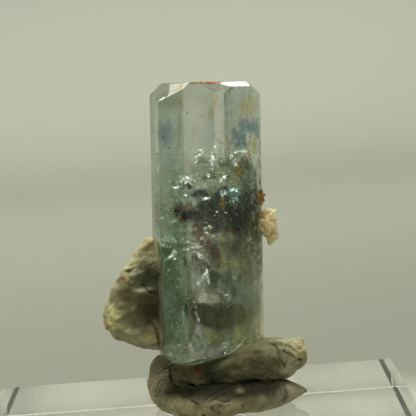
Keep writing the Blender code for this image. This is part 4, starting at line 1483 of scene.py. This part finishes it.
LUMP_GROOVES = (
    (((140, 268), (147, 271), (156, 280)), 4.5, 0.35),
    (((143, 286), (148, 291), (152, 293)), 1.3, 0.8),
    (((145, 300), (151, 307), (158, 316)), 5.5, 0.45),
    (((140, 289), (145, 291), (150, 295)), 1.3, -0.4),
    (((150, 322), (156, 330), (158, 341)), 1.8, 0.5),
)
PLATE_GROOVES = (
    (((273, 344), (277, 352), (279, 360), (285, 366)), 1.2, 0.4),
    (((284, 352), (292, 356), (300, 361)), 1.2, 0.2),
    (((287, 341), (290, 348), (296, 352)), 1.3, 0.2),
)


def matrix_lump():
    """Level rings from the crystal's side to the left reach, two hollows pushed into the front."""
    z, left, front, back = resample(MATRIX_LEVELS, 250).T
    x, y = squarish((left + MATRIX_INNER) / 2, (front + back) / 2, (MATRIX_INNER - left) / 2,
                    (back - front) / 2, 300)
    rings = roughen(np.stack([x, y, z[:, None] + 0 * x], axis=-1), 1.0 * MM, 0.5 * MM, 3.4 * MM, 11)
    for centre, radius, depth in MATRIX_HOLLOWS:
        far = np.linalg.norm(rings - centre, axis=-1)
        rings[..., 1] += depth * np.exp(-((far / radius) ** 2))
    away = away_from_middle(rings)
    rings, _ = blocks(rings, away, 5.0 * MM, 0.4 * MM, 611)
    rings, chipped = blocks(rings, away, 1.8 * MM, 0.14 * MM, 612)
    rings = ease(rings, 22)
    rings, height = crust(rings, away, 111)
    rings, depth = carve(rings, away, LUMP_GROOVES, 121)
    leftward = (plane_normals[:, 0] < -0.6) & (np.abs(plane_normals @ axis) < 0.02)
    piece = closed_stack("feldspar_lump", keep_out(rings, leftward))
    store(piece, "height", height + 0.5 * chipped - depth)
    paint(piece, rings, away, LUMP_TINTS, "stone")
    return piece


def plate():
    """Upright sections from left to right."""
    x, under, top, front, back = resample(PLATE_SECTIONS, 300).T
    y, z = squarish((front + back) / 2, (under + top) / 2, (back - front) / 2, (top - under) / 2, 260)
    rings = roughen(np.stack([x[:, None] + 0 * y, y, z], axis=-1), 0.9 * MM, 0.4 * MM, 3.0 * MM, 31)
    away = away_from_middle(rings)
    rings, _ = blocks(rings, away, 5.0 * MM, 0.35 * MM, 613)
    rings, chipped = blocks(rings, away, 1.6 * MM, 0.12 * MM, 614)
    rings = ease(rings, 18)
    rings, height = crust(rings, away, 131)
    rings, depth = carve(rings, away, PLATE_GROOVES, 141)
    piece = closed_stack("albite_slab", keep_out(rings))
    store(piece, "height", height + 0.5 * chipped - depth)
    paint(piece, rings, away, PLATE_TINTS, "stone")
    return piece


def chip(name, centre, radii, seed, tints, base):
    """Ball of the given radii, roughened as a unit ball and then crusted."""
    tilt = np.linspace(0, np.pi, 122)[1:-1]
    angle = np.linspace(0, 2 * np.pi, 150, endpoint=False)
    ball = np.stack([np.sin(tilt)[:, None] * np.cos(angle), np.sin(tilt)[:, None] * np.sin(angle),
                     np.cos(tilt)[:, None] + 0 * angle], axis=-1)
    push = 1 + 0.7 * broken_noise(ball, 0.7, seed) + 0.3 * smooth_noise(ball, 0.6, seed + 1)
    points = ball * push[..., None] * np.array(radii) * MM + np.array(centre) * MM
    points, _ = blocks(points, ball, 1.1 * MM, 0.3 * MM, seed + 620)
    points, height = crust(points, ball, seed + 150, ledge=0.12, grain=0.1)
    rightward = (plane_normals[:, 0] > 0.9) & (np.abs(plane_normals @ axis) < 0.02)
    piece = closed_stack(name, keep_out(points, rightward))
    store(piece, "height", height)
    paint(piece, points, ball, tints, base)
    return piece


lump = matrix_lump()
slab = plate()
rust_bit = chip("rust_bit", (13.85, 4.2, 61.6), (0.7, 1.2, 1.6), 5, RUST_TINTS, "ochre")
cream_bit = chip("cream_bit", (14.6, 4.4, 56.6), (1.9, 2.2, 2.5), 9, CREAM_TINTS, "peach")
print("stone faces:", [len(piece.data.polygons) for piece in (lump, slab, rust_bit, cream_bit)])

# %% [markdown]
# ## Display putty
# Mineral tack is a soft putty rolled between the fingers, curled round the specimen's foot and
# pressed down, so it keeps soft folds and the fine ridges of a fingertip. The imported node's form
# is melted by a fine voxel remesh as pressing does, and the folds are then pressed in along the normals;
# the ridges come from a phase kept on the mesh.

# %% Putty
PUTTY_VOXEL = 0.19 * MM
RIDGE_STEP = 0.42 * MM
# Grooves of the folds, as seen from the front: corners in pixels, half width in pixels, depth in millimetres.
PUTTY_FOLDS = (
    (((157, 396), (158, 388), (162, 381), (168, 377.5), (176, 377), (184, 381), (189, 387)), 1.4, 0.25),
    (((168, 391), (177, 386), (187, 392)), 6.5, 1.1),
    (((184, 378), (193, 382), (206, 378)), 4.5, 1.6),
    (((151, 400), (149, 390), (151, 378), (157, 366), (163, 360)), 5.0, -0.45),
    (((189, 387), (196, 386), (208, 381), (222, 378.5), (250, 379), (272, 379)), 1.8, 0.8),
    (((187, 392), (190, 399), (195, 406)), 1.2, 0.5),
    (((151, 384), (156, 376), (163, 369), (170, 366)), 1.0, 0.22),
    (((150, 379), (155, 371), (162, 364), (169, 361)), 1.0, 0.22),
    (((153, 391), (158, 383), (166, 374), (174, 370)), 1.0, 0.25),
    (((205, 402), (213, 394), (224, 388), (236, 384), (245, 386), (248, 393)), 1.1, 0.28),
    (((209, 404), (217, 398), (227, 395)), 1.0, 0.22),
    (((229, 392), (236, 388), (243, 390), (244, 395), (238, 397)), 0.9, 0.22),
    (((270, 382), (271, 392), (270, 404)), 1.4, 0.12),
    (((284, 382), (287, 391), (285, 402)), 1.6, 0.3),
    (((214, 401), (222, 401.5), (231, 400)), 1.0, 0.3),
)
# Middles of the fingertip patterns.
WHORLS = np.array([(-4.4, -4.5, 29.6), (9.4, -10.6, 28.6), (18.5, -6.0, 28.0), (1.5, -11.0, 25.5)]) * MM
# The right end is drawn out to a point: where it starts and ends, its middle's depth and height, how thin.
TIP_START, TIP_END, TIP_BACK, TIP_HEIGHT, TIP_THIN = 15.0 * MM, 19.0 * MM, -3.8 * MM, 27.8 * MM, 0.55
# Picture place, spreads, tint and strength of the putty's colours. The painted_shade rows are painted shadow of the
# plate
# over its top; the painted_light and bone rows are painted light on its underside, left lobe and tip; the black, bark
# and ochre specks are dirt.
PUTTY_TINTS = (
    (152, 385, 5, 20, "painted_light", 1.5),
    (160, 364, 10, 9, "bone", 9.0),
    (159, 379, 6, 9, "bone", 4.0),
    (174, 389, 10, 8, "painted_shade", 1.5),
    (202, 389, 13, 8, "painted_shade", 8.0),
    (238, 387, 36, 8, "painted_shade", 10.0),
    (270, 388, 9, 7, "painted_shade", 3.0),
    (275, 403, 14, 6, "painted_light", 3.0),
    (225, 411, 60, 8, "painted_light", 3.0),
    (180, 412, 24, 8, "painted_light", 3.0),
    (293, 392, 9, 10, "bone", 4.0),
    (240, 389, 3.5, 2.4, "painted_light", 6.0),
    (200, 400, 10, 5, "painted_shade", 1.5),
    (211.7, 406, 0.8, 0.7, "black", 60.0),
    (213.5, 409, 0.8, 0.7, "black", 60.0),
    (219.8, 411.5, 0.9, 0.7, "black", 60.0),
    (204, 415, 0.9, 0.7, "black", 60.0),
    (241, 415, 0.9, 0.7, "black", 60.0),
    (245, 404.6, 0.7, 0.7, "black", 60.0),
    (220.9, 404.6, 1.2, 0.9, "bark", 60.0),
    (173.3, 409, 0.8, 0.7, "ochre", 40.0),
)


def mesh_points(mesh):
    """Places and outward normals of a mesh's points as arrays."""
    points = np.zeros(len(mesh.vertices) * 3)
    normals = np.zeros(len(mesh.vertices) * 3)
    mesh.vertices.foreach_get("co", points)
    mesh.vertices.foreach_get("normal", normals)
    return points.reshape(-1, 3), normals.reshape(-1, 3)


def melted_putty():
    """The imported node's form with its loose triangles joined, melted by a remesh and eased."""
    bm = bmesh.new()
    bm.from_mesh(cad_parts["display_putty"].data)
    bmesh.ops.remove_doubles(bm, verts=bm.verts, dist=0.001 * MM)
    mesh = bpy.data.meshes.new("putty")
    bm.to_mesh(mesh)
    bm.free()
    piece = bpy.data.objects.new("putty", mesh)
    bpy.context.scene.collection.objects.link(piece)
    melt = piece.modifiers.new("melt", "REMESH")
    melt.mode = "VOXEL"
    melt.voxel_size = PUTTY_VOXEL
    ease = piece.modifiers.new("ease", "SMOOTH")
    ease.factor = 0.5
    ease.iterations = 24
    depsgraph = bpy.context.evaluated_depsgraph_get()
    melted = bpy.data.meshes.new_from_object(piece.evaluated_get(depsgraph))
    piece.modifiers.clear()
    piece.data = melted
    melted.polygons.foreach_set("use_smooth", np.ones(len(melted.polygons), bool))
    return piece


def folded_putty():
    """Press the folds into the melted form, roll it a little, and keep the ridges' phase on the mesh.

    The phase counts the ridge steps from the nearest whorl, bent by a noise; its sine is the ridge.
    """
    piece = melted_putty()
    points, normals = mesh_points(piece.data)
    rolled = 0.32 * smooth_noise(points, 2.6 * MM, 501) + 0.1 * smooth_noise(points, 0.9 * MM, 502)
    fine = 0.035 * grains(points, 0.4 * MM, 503)
    points, depth = carve(points, normals, PUTTY_FOLDS, 510)
    points = points + normals * ((rolled + fine) * MM)[:, None]
    share = np.clip((points[:, 0] - TIP_START) / (TIP_END - TIP_START), 0, 1) * TIP_THIN
    points[:, 1] += (TIP_BACK - points[:, 1]) * share
    points[:, 2] += (TIP_HEIGHT - points[:, 2]) * share
    points[:, 2] = np.maximum(points[:, 2], BLOCK_HIGH[2] + 0.02 * MM)
    reach = np.linalg.norm(points[:, None] - WHORLS[None], axis=-1)
    phase = reach.min(axis=1) / RIDGE_STEP + 1.3 * smooth_noise(points, 2.2 * MM, 505)
    piece.data.vertices.foreach_set("co", points.ravel())
    piece.data.update()
    store(piece, "phase", phase)
    across, _ = picture_place(points)
    store(piece, "print", np.clip((185 - across) / 15, 0.35, 1))
    paint(piece, points, normals, PUTTY_TINTS, "tack")
    store(piece, "height", rolled + fine - depth)
    return piece


tack = folded_putty()
print("putty faces:", len(tack.data.polygons))

# %% [markdown]
# ## Finishes
# Each real surface gets its own board: glassy beryl with iron stains, crusty feldspar, earthy rust,
# dull putty and polished acrylic.

# %% Beryl
def beryl():
    """Clear glassy material: plain transmission with a faint body colour absorbed with depth."""
    board = Board("beryl")
    tint = board.node("ShaderNodeAttribute", {"attribute_name": "tint"}).out("Color")
    drawn_out = {0: board.place, 1: (1, 1, 0.55)}
    streaks = board.node("ShaderNodeVectorMath", {"operation": "MULTIPLY"}, drawn_out).out()
    blue = board.noise(0.55 * MM, 6.0, 0.7, streaks).step(0.5, 0.66)
    yellow = board.noise(1.1 * MM, 6.0, 0.75, streaks, 0.5).step(0.53, 0.66)
    mottle = board.stored("mottle")
    tint = board.blend(yellow * mottle * 0.5, tint, (0.62, 0.5, 0.24), "MULTIPLY")
    tint = board.blend(blue * mottle * 0.75, tint, (0.2, 0.26, 0.38), "MULTIPLY")
    smooth = board.noise(1.4 * MM, 3.0)
    bump = board.bump(smooth, 0.001 * MM, 0.5)
    volume = board.node("ShaderNodeVolumeAbsorption", None, {"Color": (0.72, 0.88, 0.74, 1), "Density": 20.0}).out()
    return board.finish({
        "Base Color": tint,
        "Roughness": board.stored("frost"),
        "IOR": IOR,
        "Transmission Weight": 1.0,
        "Normal": bump,
    }, volume)


def stone(name, dark):
    """Broken feldspar: the stored tint clouded lighter and darker, darkest low down, a little translucent."""
    board = Board(name)
    painted = board.node("ShaderNodeAttribute", {"attribute_name": "tint"})
    tint, glow = painted.out("Color"), painted.value("Fac").step(0.0, 0.25)
    height = board.stored("height")
    clouds = board.noise(1.7 * MM, 5.0, 0.65)
    fine = board.noise(0.3 * MM, 6.0, 0.7)
    grit = board.noise(0.14 * MM, 3.0, 0.6)
    base = board.blend(clouds.step(0.5, 0.32) * 0.3, tint, dark)
    base = board.blend(clouds.step(0.52, 0.7) * glow * 0.2, base, rgb(220, 212, 160))
    base = board.blend(height.step(-0.02, -0.4) * 0.5, base, dark)
    base = board.blend(fine.step(0.5, 0.7) * glow * 0.22, base, rgb(226, 220, 176))
    base = board.blend(fine.step(0.48, 0.34) * 0.25, base, dark)
    base = board.blend(grit.step(0.58, 0.68) * glow * 0.4, base, rgb(226, 218, 174))
    base = board.blend(grit.step(0.42, 0.32) * 0.35, base, dark)
    return board.finish({
        "Base Color": base,
        "Roughness": fine.step(0.2, 0.8) * 0.3 + 0.45,
        "Specular IOR Level": 0.2,
        "Subsurface Weight": 0.6,
        "Subsurface Radius": (1.0, 0.9, 0.6),
        "Subsurface Scale": 1.6 * MM,
        "Normal": board.bump(fine, 0.05 * MM, 0.5),
    })


def putty_finish():
    """Dull grey-brown putty: painted shade in its folds, lighter on its swells, with a fingertip's ridges."""
    board = Board("putty")
    clouds = board.noise(2.4 * MM, 4.0)
    height = board.stored("height")
    ridge = (board.stored("phase") * (2 * np.pi)).sine()
    worn = board.noise(1.8 * MM, 3.0).step(0.3, 0.6) * board.stored("print")
    painted = board.node("ShaderNodeAttribute", {"attribute_name": "tint"})
    tint, glow = painted.out("Color"), painted.value("Fac").step(0.0, 0.15)
    base = board.blend(clouds.step(0.6, 0.35) * glow * 0.35, tint, rgb(54, 52, 36))
    # Painted shade in the folds, where the carved height is low; lighter where it swells.
    base = board.blend(height.step(0.0, -0.6) * 0.6, base, rgb(54, 52, 36))
    base = board.blend(height.step(0.05, 0.4) * glow * 0.3, base, rgb(150, 144, 112))
    base = board.blend(ridge.step(0.2, -1.0) * worn * 0.5, base, rgb(60, 56, 38))
    fine = board.noise(0.25 * MM, 5.0, 0.7)
    base = board.blend(fine.step(0.54, 0.68) * glow * 0.25, base, rgb(190, 184, 150))
    base = board.blend(fine.step(0.46, 0.34) * 0.35, base, rgb(48, 48, 34))
    bump = board.bump(fine, 0.07 * MM, 0.6)
    bump = board.bump(ridge * worn, 0.07 * MM, 0.9, bump)
    return board.finish({
        "Base Color": base,
        "Roughness": fine.step(0.2, 0.8) * 0.2 + 0.62,
        "Specular IOR Level": 0.12,
        "Normal": bump,
    })


def acrylic():
    """Clear polished plastic with faint scuffs and a very slight unevenness of its tone."""
    board = Board("acrylic")
    wide = board.noise(9 * MM, 3.0)
    scuffs = board.noise(0.5 * MM, 4.0, 0.7).step(0.66, 0.74)
    tone = board.blend(wide, (0.98, 0.985, 0.975), (0.99, 0.992, 0.985))
    return board.finish({"Base Color": tone, "Roughness": scuffs * 0.05 + 0.012, "IOR": 1.49,
                         "Transmission Weight": 1.0})


def crack_finish():
    """Frosted sheet, silvery in patches, with fine dark specks and light specks that are painted sparkle."""
    board = Board("crack")
    tint = board.node("ShaderNodeAttribute", {"attribute_name": "tint"}).out("Color")
    silver = board.stored("silver")
    level = board.node("ShaderNodeVectorMath", {"operation": "MULTIPLY"}, {0: board.place, 1: (0.65, 0.65, 1.5)}).out()
    fine = board.noise(0.4 * MM, 5.0, 0.7, level)
    grit = board.noise(0.26 * MM, 2.0, 0.5, level)
    wisps = board.noise(0.7 * MM, 5.0, 0.65)
    rough = board.stored("rough")
    tint = board.blend(fine.step(0.46, 0.3) * rough * 0.6, tint, rgb(44, 54, 40))
    tint = board.blend(grit.step(0.42, 0.28) * rough * 0.5, tint, rgb(30, 38, 26))
    # Light specks: painted sparkle.
    tint = board.blend(fine.step(0.56, 0.7) * rough * 0.6, tint, rgb(226, 240, 214))
    tint = board.blend(grit.step(0.6, 0.72) * rough * 0.7, tint, rgb(236, 246, 222))
    cover = board.stored("cover") * ((wisps - 0.5) * rough * 3.4 + 1.0)
    veil = cover.step(0.1, 1.0) * 0.42 + cover.step(0.9, 1.8) * 0.5
    speck = fine.step(0.56, 0.66) + fine.step(0.42, 0.34) + grit.step(0.62, 0.7)
    veil = veil.most(cover.step(0.2, 0.7) * speck * rough * 0.85)
    return board.finish({"Base Color": tint, "Roughness": 0.6 - silver * 0.3, "Metallic": silver * 0.15,
                         "Alpha": veil, "Transmission Weight": 0.3, "IOR": 1.3,
                         "Normal": board.bump(fine, 0.12 * MM, 0.7)})


def flake_finish(name, roughness, metallic):
    board = Board(name)
    tint = board.node("ShaderNodeAttribute", {"attribute_name": "tint"}).out("Color")
    return board.finish({"Base Color": tint, "Roughness": roughness, "Metallic": metallic})


dress(crystal, ["aquamarine_crystal"], beryl())
crack = crack_finish()
for piece in curtains:
    dress(piece, [], crack)
dress(sparks, [], flake_finish("silver_crack", 0.22, 0.7))
dress(iron, [], flake_finish("iron_speck", 0.8, 0.0))
dress(crumbs, [], flake_finish("skin_crumb", 0.85, 0.0))
dress(lump, ["feldspar_matrix"], stone("feldspar", rgb(84, 80, 50)))
dress(slab, ["albite_plate"], stone("albite", rgb(84, 76, 48)))
dress(rust_bit, ["rust_chip"], stone("rust", rgb(70, 36, 22)))
dress(cream_bit, ["feldspar_chip"], stone("stained_feldspar", rgb(150, 110, 70)))
dress(tack, ["display_putty"], putty_finish())
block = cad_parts["acrylic_block"]
block.data.materials.clear()
block.data.materials.append(acrylic())

# %% [markdown]
# ## Floor and light
# A pale floor that runs to the horizon and a soft pale sky stand in for a small studio; the paper's tone is partly
# painted light and shade.
# A wide lamp overhead and two small lamps mirrored in the crystal's sloping end faces give the bright glints.

# %% Stage
SWEEP_BACK, SWEEP_RADIUS, SWEEP_HEIGHT, SWEEP_WIDE = 1.3, 0.6, 2.4, 3.0
FLOOR_DROP = 0.0001


def sweep():
    """Floor that curves up behind into a wall: a straight run, a quarter circle and an upright run."""
    bend = np.linspace(0, np.pi / 2, 25)
    course = np.concatenate([
        [(-3.0, 0.0)],
        np.stack([SWEEP_BACK - SWEEP_RADIUS + SWEEP_RADIUS * np.sin(bend),
                  SWEEP_RADIUS - SWEEP_RADIUS * np.cos(bend)], axis=1),
        [(SWEEP_BACK, SWEEP_HEIGHT)],
    ])
    left = np.column_stack([np.full(len(course), -SWEEP_WIDE), course[:, 0], course[:, 1] - FLOOR_DROP])
    right_side = left * (-1, 1, 1)
    n = len(course)
    step = np.arange(n - 1)
    faces = np.stack([step, step + n, step + n + 1, step + 1], axis=1)
    piece = new_piece("sweep", np.concatenate([left, right_side]), faces, smooth=True)
    board = Board("paper")
    place = board.node("ShaderNodeSeparateXYZ", None, {0: board.place})
    # Painted light and shade in the paper's tone: darker towards the camera and lighter further back and up the wall,
    # lighter bands to either side, a pale spot round the block and a dark patch to the right.
    tone = board.blend(place.value("Y").step(0.12, 0.5), rgb(119, 122, 112), rgb(147, 151, 140))
    tone = board.blend(place.value("Y").step(0.5, 1.0), tone, rgb(203, 207, 197))
    tone = board.blend(place.value("Z").step(0.1, 0.6), tone, rgb(236, 238, 226))
    beside = place.value("X") * place.value("X")
    tone = board.blend(beside.step(0.05, 0.13), tone, rgb(218, 221, 211))
    tone = board.blend(board.near((0, 0, 0), 0.13, 0.6), tone, rgb(192, 194, 184))
    tone = board.blend(board.near((0.47, 0.15, 0), 0.27, 0.7, (1, 0.42, 1)) * 0.85, tone, rgb(60, 62, 52))
    piece.data.materials.append(board.finish({"Base Color": tone, "Roughness": 0.9}))


def lamp(name, place, target, size, power, colour=(1, 1, 1)):
    """Square area lamp that looks at a target."""
    data = bpy.data.lights.new(name, "AREA")
    data.shape = "SQUARE"
    data.size = size
    data.energy = power
    data.color = colour
    piece = bpy.data.objects.new(name, data)
    piece.location = place
    piece.rotation_euler = (Vector(target) - Vector(place)).to_track_quat("-Z", "Y").to_euler()
    bpy.context.scene.collection.objects.link(piece)


def sky(colour, strength):
    world = bpy.data.worlds.new("sky")
    bpy.context.scene.world = world
    world.use_nodes = True
    background = world.node_tree.nodes["Background"]
    background.inputs["Color"].default_value = (*colour, 1)
    background.inputs["Strength"].default_value = strength


sweep()
WARM = (1.0, 0.98, 0.88)
sky(rgb(200, 201, 184), 0.33)
lamp("key", (-0.36, 0.08, 0.7), (0, 0, 0.07), 0.3, 3.2, WARM)
lamp("left_glint", (-0.2816, 0.2567, 0.6706), (0, -0.005, 0.082), 0.1, 0.15, WARM)
lamp("right_glint", (0.23, 0.68, 0.436), (0.01, 0, 0.082), 0.14, 0.28, WARM)
lamp("overhead", (-0.04, 0.12, 0.72), (0, 0.0, 0.05), 0.5, 4.6, WARM)
lamp("spark", SPARK_LAMP, (0, 0, 0.05), 0.13, 0.75, WARM)
lamp("backdrop", (0, 0.3, 1.4), (0, 1.3, 1.0), 0.8, 8.0, WARM)
lamp("right_card", (0.7, -0.12, 0.02), (0, 0, 0.05), 0.5, 0.6, WARM)
bpy.context.scene.view_settings.view_transform = "Standard"
bpy.context.scene.cycles.transparent_max_bounces = 32
